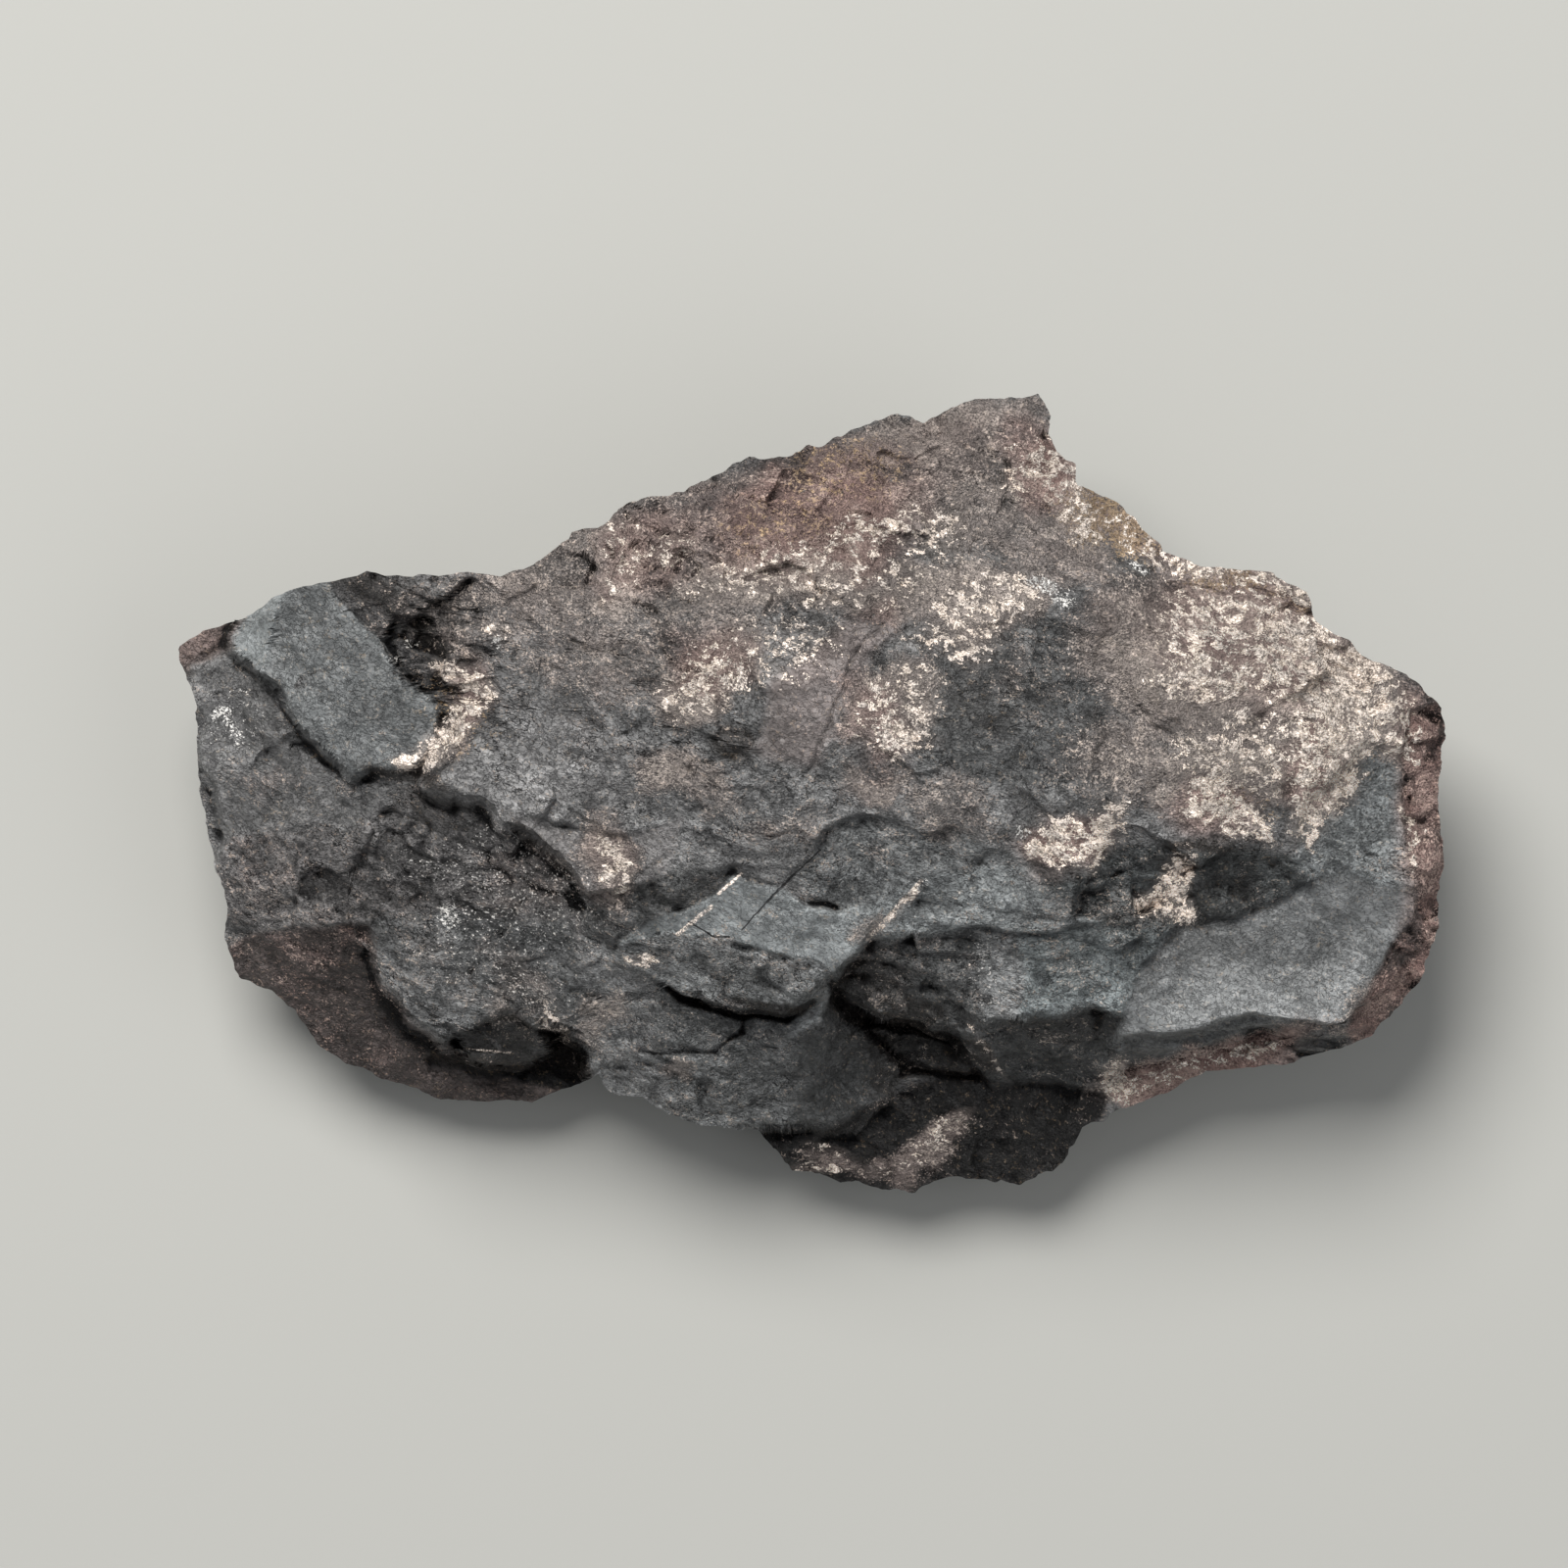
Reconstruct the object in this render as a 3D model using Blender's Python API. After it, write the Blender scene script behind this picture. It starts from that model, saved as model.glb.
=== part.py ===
"""Hematite specimen: one broken, platy stone lying on its back, broad face up.

Lengths below are millimetres. X runs along the stone, Y across it and Z through its thickness.
The broad face is a soft survey surface on which the cleaved faces are laid one by one, each as a
polygon whose corners carry their own heights. Ledges are where neighbouring corners differ.
"""
import math

import bmesh
import bpy
import numpy as np

# Driving dimensions
STONE_LENGTH = 50.0
STONE_WIDTH = 31.6
STONE_THICKNESS = 14.8
MILLIMETRE = 0.001
EDGE_THICKNESS = 1.0
UNDERCUT = 0.5
BASE_DEPTH = 0.6

# Fineness of the surface, before and after it is thinned
COLUMNS = 260
ROWS = 170
SIDE_ROWS = 22
FACE_COUNT = 9400

# Roughness of the broken surface
WALL_LEAN = 0.22
EDGE_WANDER = 0.22
RIM_WANDER = 0.16
BED_SPACING = 1.15
BED_DIP = (0.10, 0.30)
BED_STRENGTH = 0.22
BED_BREAK = 1.1
CHIP_STRETCH = 1.5
CHIP_TURN = math.radians(-18.0)
CHIP_FRAY = 0.10
CHIP_HEIGHTS = ((3.4, 0.24), (1.5, 0.17))
UNDERSIDE_GRAIN = 0.30
SIDE_BREAK = 0.9
OPEN_GRAIN = 0.85

# Outline of the broad face, clockwise from its left tip
OUTLINE = [
    (-25.1, 6.0), (-24.2, 6.7), (-22.2, 7.1), (-21.2, 7.9), (-20.6, 8.1), (-18.4, 8.6), (-17.2, 8.9),
    (-16.5, 8.7), (-13.4, 8.9), (-12.0, 8.7), (-10.7, 9.1), (-9.2, 10.4), (-8.1, 10.7), (-7.1, 11.5),
    (-4.9, 12.1), (-2.4, 13.3), (0.4, 13.8), (1.2, 14.3), (3.5, 15.1), (4.6, 14.9), (6.6, 15.8),
    (7.7, 15.6), (9.0, 15.85), (9.6, 15.1), (9.4, 14.3), (10.4, 13.0), (10.6, 12.3), (12.6, 11.4),
    (14.1, 9.8), (15.5, 9.2), (18.3, 8.9), (19.5, 8.1), (19.8, 7.1), (22.2, 5.6), (24.0, 4.5),
    (25.06, 3.6), (24.9, 0.8), (25.06, -2.5), (24.9, -5.2), (24.1, -7.4), (23.2, -8.6), (21.4, -9.8),
    (19.3, -10.6), (16.0, -10.9), (12.8, -12.3), (10.9, -13.1), (10.2, -14.6), (8.5, -15.5),
    (5.6, -15.2), (4.3, -15.85), (2.0, -15.3), (-0.6, -15.0), (-2.0, -13.2), (-5.0, -12.7),
    (-8.0, -11.5), (-8.4, -11.1), (-11.0, -12.2), (-14.8, -12.1), (-17.4, -10.9), (-18.5, -10.7),
    (-21.0, -8.0), (-22.6, -7.2), (-23.3, -5.4), (-23.2, -4.2), (-23.8, -1.4), (-24.3, 2.4),
    (-24.45, 4.4),
]

# Heights of the broad face where its slope changes: along the rim, then across it
SURVEY = [
    (-25.1, 6.0, 5.8), (-22.3, 7.1, 6.8), (-20.4, 8.3, 9.6), (-16.5, 8.9, 10.8), (-12.7, 8.9, 11.6),
    (-8.8, 10.6, 11.6), (-4.9, 12.1, 11.4), (-0.7, 13.6, 11.0), (4.7, 15.0, 10.6), (8.6, 15.8, 9.8),
    (10.5, 12.4, 10.8), (14.0, 9.9, 10.8), (18.3, 8.9, 9.9), (21.8, 6.0, 9.6), (25.0, 3.6, 8.7),
    (25.0, -1.5, 8.0), (24.8, -5.3, 7.3), (22.2, -9.4, 6.2), (18.0, -10.6, 4.6), (13.3, -12.0, 4.2),
    (10.2, -14.0, 3.2), (5.0, -15.6, 2.6), (-0.3, -15.3, 2.8), (-2.0, -13.1, 4.2), (-6.0, -12.0, 4.8),
    (-8.4, -11.2, 4.0), (-12.7, -12.2, 2.6), (-17.3, -11.2, 3.0), (-21.0, -8.0, 4.0),
    (-23.3, -5.3, 5.0), (-23.9, -1.5, 6.0), (-24.4, 3.0, 6.8),
    (-10.0, 7.5, 12.6), (-5.0, 8.5, 13.2), (0.0, 9.5, 13.2), (5.0, 10.5, 12.6), (-8.0, 3.0, 13.2),
    (-3.0, 4.0, 14.2), (2.0, 4.0, 14.4), (7.0, 5.0, 13.8), (12.0, 5.0, 13.2), (17.0, 5.0, 12.2),
    (21.0, 3.0, 11.0), (-3.0, 0.0, 14.0), (3.0, 0.0, 13.8), (9.0, 0.5, 13.4), (15.0, 1.0, 12.6),
    (20.0, 0.0, 11.0), (-9.0, -1.0, 12.8), (-4.0, -2.6, 13.0), (2.0, -3.0, 12.8), (7.0, -3.0, 12.4),
    (12.0, -2.8, 11.6), (17.0, -2.6, 10.6), (-19.0, 2.0, 9.4), (-15.0, -1.5, 10.0),
    (-20.0, -3.0, 8.2), (-11.0, -4.0, 10.4), (-15.0, -6.0, 8.8), (-10.0, -8.0, 8.4),
    (-18.0, -8.5, 5.2), (-4.0, -6.0, 10.6), (2.0, -6.0, 10.4), (7.0, -6.0, 10.4), (-4.0, -9.0, 8.0),
    (0.5, -10.0, 6.8), (5.0, -11.0, 5.0), (9.5, -9.5, 7.6), (12.0, -7.0, 9.2), (17.0, -6.5, 8.2),
    (20.5, -5.0, 8.4),
]

# Cleaved faces in the order in which they are laid: width of the wall at their edge, hollow at
# their middle, share of the grain that shows on them, and corners with their heights
FACES = {
    "tip_flake": (0.4, 0.0, 0.8, [
        (-25.6, 6.0, 5.7), (-24.3, 7.2, 6.3), (-22.2, 7.8, 7.2), (-22.2, 5.8, 7.3), (-23.3, 5.3, 6.9),
        (-24.8, 5.0, 6.3)]),
    "left_shelf": (0.4, 0.0, 0.5, [
        (-24.0, 5.2, 7.2), (-22.3, 5.8, 8.3), (-21.3, 4.6, 8.8), (-19.6, 2.2, 9.2), (-18.1, 0.4, 9.7),
        (-15.5, 0.2, 10.3), (-17.0, -1.2, 9.6), (-20.5, -1.8, 8.3), (-22.8, -1.8, 7.2),
        (-23.5, 1.0, 7.5), (-23.8, 3.2, 7.4)]),
    "flank": (0.4, 0.3, 1.3, [
        (-22.8, -1.8, 7.2), (-20.5, -1.7, 8.3), (-17.0, -1.1, 9.6), (-15.5, 0.3, 10.3),
        (-12.5, -0.1, 10.9), (-10.2, -1.9, 11.0), (-8.3, -3.9, 10.8), (-7.8, -6.0, 10.1),
        (-9.0, -7.5, 9.0), (-14.0, -5.5, 9.1), (-17.2, -4.6, 8.3), (-21.5, -5.2, 6.4),
        (-23.0, -4.5, 5.7)]),
    "lower_facet": (0.3, 0.2, 0.6, [
        (-22.9, -6.2, 5.0), (-21.8, -5.7, 5.9), (-19.0, -5.4, 7.0), (-17.3, -5.2, 7.5),
        (-15.6, -7.6, 6.4), (-13.0, -8.6, 5.6), (-10.0, -8.8, 5.2), (-8.2, -10.4, 4.2),
        (-8.4, -11.6, 3.6), (-11.0, -12.6, 3.0), (-15.0, -12.5, 2.7), (-18.9, -11.2, 3.0),
        (-22.0, -8.0, 4.0)]),
    "lower_slab": (0.25, 0.0, 0.9, [
        (-17.3, -4.8, 8.4), (-13.5, -4.6, 9.15), (-9.5, -5.0, 9.8), (-8.3, -7.5, 9.2),
        (-7.6, -10.0, 8.0), (-8.2, -10.9, 7.3), (-10.0, -9.7, 7.9), (-11.1, -8.8, 8.2),
        (-12.7, -9.0, 8.1), (-14.3, -9.7, 7.6), (-15.6, -8.6, 7.8), (-16.6, -7.3, 8.0),
        (-17.0, -6.2, 8.2)]),
    "cave_gap": (0.2, 0.2, 0.6, [
        (-14.1, -9.9, 5.2), (-13.5, -10.1, 4.4), (-12.0, -10.2, 4.0), (-10.9, -10.0, 3.8),
        (-10.2, -9.4, 3.8), (-9.3, -10.0, 3.4), (-8.5, -10.8, 3.2), (-8.5, -11.4, 3.2),
        (-9.4, -11.4, 3.3), (-10.8, -11.1, 3.4), (-12.2, -10.9, 3.8), (-13.6, -10.5, 4.4)]),
    "cave_slab": (0.12, 0.0, 0.9, [
        (-14.0, -9.4, 7.2), (-12.7, -8.9, 7.1), (-11.4, -8.6, 6.7), (-10.6, -9.1, 6.3), (-10.4, -9.7, 5.8),
        (-10.9, -10.2, 5.6), (-11.7, -10.3, 5.9), (-12.2, -10.1, 6.3), (-13.5, -10.1, 6.6)]),
    "plateau_left": (0.3, 0.0, 0.7, [
        (-15.0, 0.7, 12.0), (-13.1, 2.2, 12.3), (-12.3, 3.2, 12.4), (-12.0, 4.4, 12.4),
        (-13.4, 5.8, 12.2), (-14.6, 7.2, 12.0), (-16.6, 8.6, 11.5), (-16.8, 9.4, 11.3), (-11.0, 9.6, 11.8),
        (-9.0, 5.0, 13.0), (-7.0, 2.0, 13.5), (-7.0, -1.2, 13.2), (-9.6, -0.6, 12.9),
        (-11.2, -0.8, 12.6), (-11.9, -0.9, 12.4), (-12.5, -0.2, 12.3), (-13.6, 0.5, 12.2)]),
    "crumbly_band": (0.2, 0.2, 2.4, [
        (-18.9, 9.2, 10.5), (-18.4, 7.6, 10.6), (-17.3, 6.4, 10.7), (-16.1, 4.9, 10.9), (-14.8, 4.2, 11.0),
        (-14.5, 3.2, 11.1), (-15.0, 0.9, 11.2), (-14.2, 1.4, 11.7), (-13.1, 2.2, 12.2), (-12.3, 3.2, 12.4),
        (-12.2, 4.5, 12.4), (-13.7, 5.7, 12.1), (-15.0, 7.0, 11.9), (-15.9, 7.8, 11.7),
        (-17.1, 8.4, 11.4), (-17.4, 9.4, 11.2)]),
    "left_plate": (0.25, 0.0, 0.35, [
        (-22.3, 6.6, 9.4), (-21.0, 8.6, 9.8), (-18.9, 9.2, 10.5), (-18.4, 7.6, 10.8), (-17.3, 6.4, 11.0),
        (-16.1, 4.9, 11.2), (-14.8, 4.2, 11.4), (-14.6, 3.2, 11.4), (-14.8, 2.3, 11.4),
        (-15.5, 1.7, 11.3), (-16.2, 1.3, 11.1), (-16.9, 1.35, 11.0), (-17.9, 0.9, 10.9),
        (-18.7, 1.6, 10.7), (-19.8, 3.2, 10.4), (-20.5, 4.3, 10.2), (-21.3, 5.0, 9.9),
        (-22.3, 6.0, 9.5)]),
    "plate_bevel": (0.15, 0.0, 0.2, [
        (-22.5, 6.4, 8.7), (-21.3, 8.5, 9.1), (-20.2, 8.7, 10.1), (-20.8, 7.0, 10.15),
        (-21.3, 5.0, 9.9), (-22.2, 5.9, 9.1)]),
    "wedge": (0.2, 0.0, 0.35, [
        (-11.2, -0.8, 12.4), (-8.8, -1.3, 12.55), (-7.2, -1.5, 12.8), (-5.0, -1.0, 13.45),
        (-5.3, -2.8, 12.9), (-6.8, -3.5, 12.7), (-7.7, -3.7, 12.65), (-8.3, -3.8, 12.65),
        (-8.9, -3.3, 12.6), (-10.1, -1.9, 12.5)]),
    "green_slope": (0.25, 0.0, 0.9, [
        (-8.4, -3.8, 11.5), (-7.6, -3.8, 11.8), (-6.6, -3.5, 12.2), (-5.0, -3.0, 12.7),
        (-3.0, -3.0, 12.7), (-3.0, -3.5, 12.4), (-4.9, -4.5, 11.6), (-6.3, -5.4, 10.9),
        (-7.4, -6.1, 10.2), (-8.8, -5.6, 10.0)]),
    "bulge_left": (0.3, -0.1, 0.7, [
        (-8.8, -5.4, 10.1), (-7.4, -6.2, 10.2), (-6.0, -7.4, 9.6), (-5.8, -9.5, 8.4),
        (-5.2, -13.2, 5.8), (-8.2, -11.8, 6.0), (-8.4, -10.7, 6.9), (-8.2, -9.0, 8.3),
        (-8.8, -7.2, 9.3)]),
    "bulge_middle": (0.3, -0.2, 0.9, [
        (-7.4, -6.2, 10.2), (-3.6, -7.4, 9.2), (-1.2, -8.0, 8.9), (0.7, -7.5, 9.2), (0.2, -9.0, 8.3),
        (-0.3, -11.0, 7.0), (-0.5, -13.5, 5.4), (-5.2, -13.2, 5.8), (-5.8, -9.5, 8.4), (-6.0, -7.4, 9.6)]),
    "dark_hollow": (0.6, 0.3, 0.5, [
        (0.7, -7.5, 9.0), (1.5, -8.1, 7.4), (2.8, -9.2, 5.6), (3.4, -10.8, 4.8), (3.3, -12.2, 4.6),
        (1.0, -13.5, 4.7), (-0.5, -13.5, 5.3), (-0.3, -11.0, 7.0), (0.2, -9.0, 8.3)]),
    "tongue": (0.25, 0.0, 1.1, [
        (-2.2, -13.3, 4.1), (1.0, -13.3, 4.3), (2.9, -12.2, 4.5), (5.5, -11.1, 4.7), (9.0, -11.0, 4.7),
        (11.9, -11.3, 4.5), (11.2, -13.2, 4.0), (10.4, -14.8, 3.4), (8.3, -16.0, 3.0),
        (4.4, -16.3, 2.8), (-0.8, -15.6, 3.0)]),
    "cave": (0.25, 0.2, 0.8, [
        (0.9, -7.2, 6.4), (3.0, -8.2, 4.9), (4.8, -8.7, 4.3), (6.8, -9.3, 4.1), (7.6, -11.0, 4.0),
        (5.6, -11.1, 4.1), (3.8, -10.9, 4.2), (2.9, -9.6, 4.4), (1.7, -8.3, 5.4)]),
    "cave_shelf": (0.15, 0.1, 0.8, [
        (2.5, -9.2, 5.9), (4.4, -9.5, 6.0), (5.8, -9.9, 5.8), (6.7, -10.5, 5.4), (6.2, -10.8, 5.2),
        (4.8, -10.6, 5.3), (3.5, -10.1, 5.6)]),
    "dark_slope": (0.3, 0.0, 0.9, [
        (7.1, -8.8, 9.4), (10.8, -8.3, 9.0), (12.6, -8.4, 8.8), (12.5, -10.2, 7.2),
        (12.2, -11.4, 5.2), (9.0, -11.1, 5.3), (7.4, -11.3, 5.1), (6.4, -9.3, 8.4)]),
    "laminated": (0.2, 0.0, 1.4, [
        (2.0, -5.9, 10.9), (4.7, -5.3, 11.0), (6.5, -5.3, 11.0), (6.5, -7.0, 10.4), (7.1, -8.8, 9.6),
        (6.4, -9.3, 9.1), (4.8, -8.6, 9.1), (3.0, -8.2, 9.0), (1.0, -7.3, 9.4), (1.3, -6.7, 10.2)]),
    "speckled": (0.2, 0.0, 0.8, [
        (6.4, -5.3, 11.0), (8.3, -5.1, 11.0), (8.6, -7.2, 10.5), (8.6, -8.6, 10.1), (7.1, -8.8, 9.6),
        (6.6, -7.0, 10.3)]),
    "teal_facet": (0.2, 0.1, 0.6, [
        (8.3, -5.1, 11.0), (11.3, -4.8, 10.6), (14.5, -5.0, 9.6), (14.6, -7.4, 9.1),
        (12.3, -8.2, 9.4), (10.8, -8.3, 9.6), (8.6, -8.6, 10.1), (8.4, -7.2, 10.5)]),
    "step_right": (0.25, 0.0, 0.8, [
        (0.7, -1.6, 13.1), (1.5, -0.9, 13.3), (2.8, -0.9, 13.2), (4.8, -1.5, 12.9), (6.5, -1.7, 12.8),
        (7.7, -2.4, 12.5), (4.6, -3.1, 12.4), (2.4, -4.1, 12.1), (1.4, -4.3, 12.1),
        (-0.3, -3.4, 12.6)]),
    "middle_shelf": (0.2, 0.0, 0.7, [
        (2.4, -4.2, 12.1), (4.6, -3.1, 12.4), (8.5, -2.6, 12.4), (9.5, -3.2, 12.0),
        (12.5, -3.2, 11.3), (11.5, -4.6, 10.9), (8.6, -5.0, 11.4), (5.0, -5.2, 11.6),
        (2.2, -5.4, 11.7)]),
    "under_right": (0.3, 0.2, 1.3, [
        (8.6, -2.4, 12.3), (10.5, -3.1, 11.8), (11.6, -2.2, 11.9), (13.7, -2.1, 11.6),
        (16.5, -2.1, 11.0), (19.4, -2.4, 10.2), (20.3, -3.5, 9.3), (18.3, -4.4, 9.0),
        (15.3, -5.0, 9.1), (12.2, -4.8, 10.3), (10.6, -4.4, 11.0)]),
    "teal_right": (0.25, 0.1, 0.7, [
        (19.2, -2.4, 10.3), (19.6, -1.4, 10.4), (19.8, -0.3, 10.6), (20.9, 0.7, 10.4),
        (21.9, 2.0, 10.1), (23.6, 1.8, 9.2), (23.8, -1.5, 8.9), (23.9, -3.5, 8.3), (22.5, -3.7, 8.7),
        (21.4, -3.3, 9.2), (20.2, -3.4, 9.4)]),
    "right_scoop": (0.3, 0.3, 0.3, [
        (14.5, -5.2, 9.1), (18.3, -4.4, 8.9), (20.3, -3.4, 9.3), (21.4, -3.3, 9.1), (22.6, -3.7, 8.6),
        (23.8, -3.6, 8.2), (23.8, -4.8, 8.0), (22.8, -6.2, 8.2), (22.0, -7.6, 8.5), (20.9, -9.0, 8.7),
        (18.3, -8.6, 9.1), (17.2, -8.4, 9.2), (16.0, -8.8, 9.1), (14.4, -9.2, 8.9), (12.5, -9.6, 8.6),
        (12.4, -8.2, 9.2)]),
    "right_rim": (0.2, 0.0, 1.2, [
        (23.4, 3.4, 9.1), (25.6, 3.8, 8.6), (25.6, -5.4, 7.0), (24.4, -8.4, 6.4), (21.2, -11.0, 5.6),
        (20.6, -9.9, 7.0), (21.2, -9.2, 8.0), (22.2, -7.6, 8.1), (23.0, -6.2, 8.0), (23.8, -4.8, 7.8),
        (23.6, -1.5, 8.8)]),
    "lip_wall": (0.15, 0.0, 0.5, [
        (12.5, -9.6, 8.2), (14.4, -9.2, 8.6), (16.0, -8.8, 8.8), (17.2, -8.4, 8.9), (18.3, -8.6, 8.8),
        (20.9, -9.0, 8.3), (21.4, -10.0, 6.4), (19.2, -10.0, 5.6), (17.9, -9.5, 5.6),
        (14.8, -10.3, 5.3), (12.9, -10.9, 5.1), (12.2, -11.4, 5.0)]),
    "light_strip": (0.2, -0.1, 0.9, [
        (12.0, -11.6, 4.9), (12.9, -10.9, 5.1), (14.8, -10.3, 5.3), (17.9, -9.4, 5.6),
        (19.2, -10.0, 5.5), (19.6, -11.2, 4.7), (16.0, -11.4, 4.4), (12.8, -12.8, 4.0)]),
    "flake_gap": (0.2, 0.0, 0.6, [
        (-5.5, -7.3, 8.0), (-2.6, -8.0, 7.4), (-0.6, -8.1, 7.4), (0.4, -7.4, 8.2), (-0.1, -7.9, 7.6),
        (-0.8, -8.6, 7.2), (-1.8, -8.5, 7.2), (-3.2, -8.3, 7.2), (-4.8, -7.9, 8.0)]),
    "light_chip": (0.15, 0.0, 0.3, [
        (0.6, -7.6, 9.3), (0.4, -8.5, 8.7), (-0.6, -9.2, 8.2), (-0.9, -8.9, 8.2), (-0.3, -8.1, 8.7)]),
    "flake_body": (0.2, 0.0, 1.4, [
        (-7.4, -5.9, 10.4), (-3.8, -4.9, 11.9), (-2.0, -5.6, 12.1), (0.3, -6.3, 12.0),
        (0.9, -6.9, 11.7), (-0.6, -7.7, 11.1), (-1.2, -8.2, 10.6), (-3.6, -7.9, 10.3),
        (-5.0, -7.3, 10.2), (-7.1, -6.5, 10.1)]),
    "flake_top": (0.15, 0.0, 0.2, [
        (-7.2, -5.7, 10.7), (-4.9, -4.3, 11.9), (-3.0, -3.3, 12.7), (-1.4, -3.6, 12.6),
        (0.9, -4.6, 12.3), (1.4, -4.4, 12.3), (2.6, -4.3, 12.2), (2.2, -5.5, 12.1), (1.0, -6.9, 11.9),
        (0.5, -6.6, 12.0), (-1.5, -5.9, 12.3), (-3.2, -5.1, 12.1), (-5.0, -5.2, 11.5)]),
    "dark_slab": (0.2, 0.0, 0.7, [
        (4.4, 6.3, 13.85), (6.7, 6.7, 13.35), (8.2, 7.1, 12.95), (9.4, 7.4, 12.8), (11.1, 6.4, 12.85),
        (13.3, 6.0, 12.65), (13.5, 2.0, 12.95), (12.5, 0.5, 12.9), (8.0, 0.6, 13.5), (4.5, 1.4, 14.0),
        (3.6, 3.2, 14.25)]),
    "upper_slab": (0.2, 0.0, 0.5, [
        (9.8, 9.9, 12.05), (12.6, 9.4, 11.6), (14.6, 7.4, 12.0), (14.0, 6.9, 12.4), (11.0, 6.4, 13.1),
        (9.2, 7.3, 13.15)]),
    "brown_triangle": (0.66, 0.0, 0.25, [
        (3.0, 7.5, 13.85), (0.5, 5.8, 14.3), (-1.1, 4.4, 14.4), (-1.5, 2.0, 14.3), (0.0, 1.6, 14.35),
        (0.7, 2.6, 14.45), (1.5, 4.4, 14.5), (2.9, 6.4, 14.25)]),
}

# Faces of the underside: direction that each looks in degrees from +X, how far from the middle
# it leaves the resting face, and how steeply it rises from there
UNDERSIDE = [
    (0, 14.0, 0.42), (38, 14.0, 0.85), (84, 6.5, 0.75), (128, 8.5, 0.62), (175, 14.0, 0.42),
    (220, 13.0, 0.30), (268, 8.0, 0.20), (315, 13.0, 0.38),
]


def lattice(column, row, seed):
    """Repeatable value from -1 to 1 for each whole-numbered place."""
    mixed = (column * 374761393 + row * 668265263 + seed * 974634777) & 0xffffffff
    mixed = ((mixed ^ (mixed >> 13)) * 1274126177) & 0xffffffff
    return ((mixed ^ (mixed >> 16)) & 0xffff) / 32767.5 - 1.0


def eased(t):
    """Zero below 0, one above 1 and a soft step between."""
    t = np.clip(t, 0.0, 1.0)
    return t * t * (3.0 - 2.0 * t)


def noise(x, y, size, seed):
    """Soft noise from -1 to 1 whose blobs have the given size."""
    column = np.floor(x / size).astype(np.int64)
    row = np.floor(y / size).astype(np.int64)
    across = eased(x / size - column)
    up = eased(y / size - row)
    low = lattice(column, row, seed) * (1 - across) + lattice(column + 1, row, seed) * across
    high = lattice(column, row + 1, seed) * (1 - across) + lattice(column + 1, row + 1, seed) * across
    return low * (1 - up) + high * up


def rubble(x, y, size, octaves, seed, gain=0.5):
    """Noise of ever smaller blobs, each octave half the size of the one before."""
    total = np.zeros(np.shape(x))
    for octave in range(octaves):
        total += gain ** octave * noise(x, y, size / 2 ** octave, seed + octave)
    return total


def chips(x, y, size, seed):
    """Flat chips of broken stone, from about -1 to 1: each tilts its own way about its own middle."""
    column = np.floor(x / size).astype(np.int64)
    row = np.floor(y / size).astype(np.int64)
    nearest = np.full(x.shape, np.inf)
    height = np.zeros(x.shape)
    for aside in (-1, 0, 1):
        for above in (-1, 0, 1):
            cell = column + aside, row + above
            from_x = x / size - cell[0] - 0.5 - 0.42 * lattice(*cell, seed)
            from_y = y / size - cell[1] - 0.5 - 0.42 * lattice(*cell, seed + 1)
            gap = from_x ** 2 + from_y ** 2
            tilt = from_x * lattice(*cell, seed + 2) + from_y * lattice(*cell, seed + 3)
            height = np.where(gap < nearest, 0.5 * lattice(*cell, seed + 4) + tilt, height)
            nearest = np.minimum(nearest, gap)
    return height


def edge_place(x, y, corners):
    """Distance inside a polygon's edge, negative outside, and the height of its nearest edge point."""
    here = np.array(corners, float)
    nearest = np.full(x.shape, np.inf)
    height = np.zeros(x.shape)
    inside = np.zeros(x.shape, bool)
    for (ax, ay, az), (bx, by, bz) in zip(here, np.roll(here, -1, axis=0)):
        run_x, run_y = bx - ax, by - ay
        along = np.clip(((x - ax) * run_x + (y - ay) * run_y) / (run_x ** 2 + run_y ** 2), 0.0, 1.0)
        gap = np.hypot(x - ax - along * run_x, y - ay - along * run_y)
        height = np.where(gap < nearest, az + along * (bz - az), height)
        nearest = np.minimum(nearest, gap)
        if ay != by:
            inside ^= ((ay > y) != (by > y)) & (x < ax + (y - ay) * run_x / run_y)
    return np.where(inside, nearest, -nearest), height


def spanned_height(x, y, corners):
    """Height inside a polygon, spanned from its corners by mean value weights."""
    here = np.array(corners, float)
    to_x = here[:, 0, None] - x
    to_y = here[:, 1, None] - y
    reach = np.hypot(to_x, to_y) + 1e-6
    next_x, next_y, next_reach = (np.roll(values, -1, axis=0) for values in (to_x, to_y, reach))
    half_angle = (to_x * next_y - to_y * next_x) / (reach * next_reach + to_x * next_x + to_y * next_y + 1e-6)
    weight = (half_angle + np.roll(half_angle, 1, axis=0)) / reach
    return (weight * here[:, 2, None]).sum(axis=0) / weight.sum(axis=0)


def plate_kernel(squared_distance):
    """How a thin plate bends around one pin."""
    return squared_distance * np.log(squared_distance + 1e-9)


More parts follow.
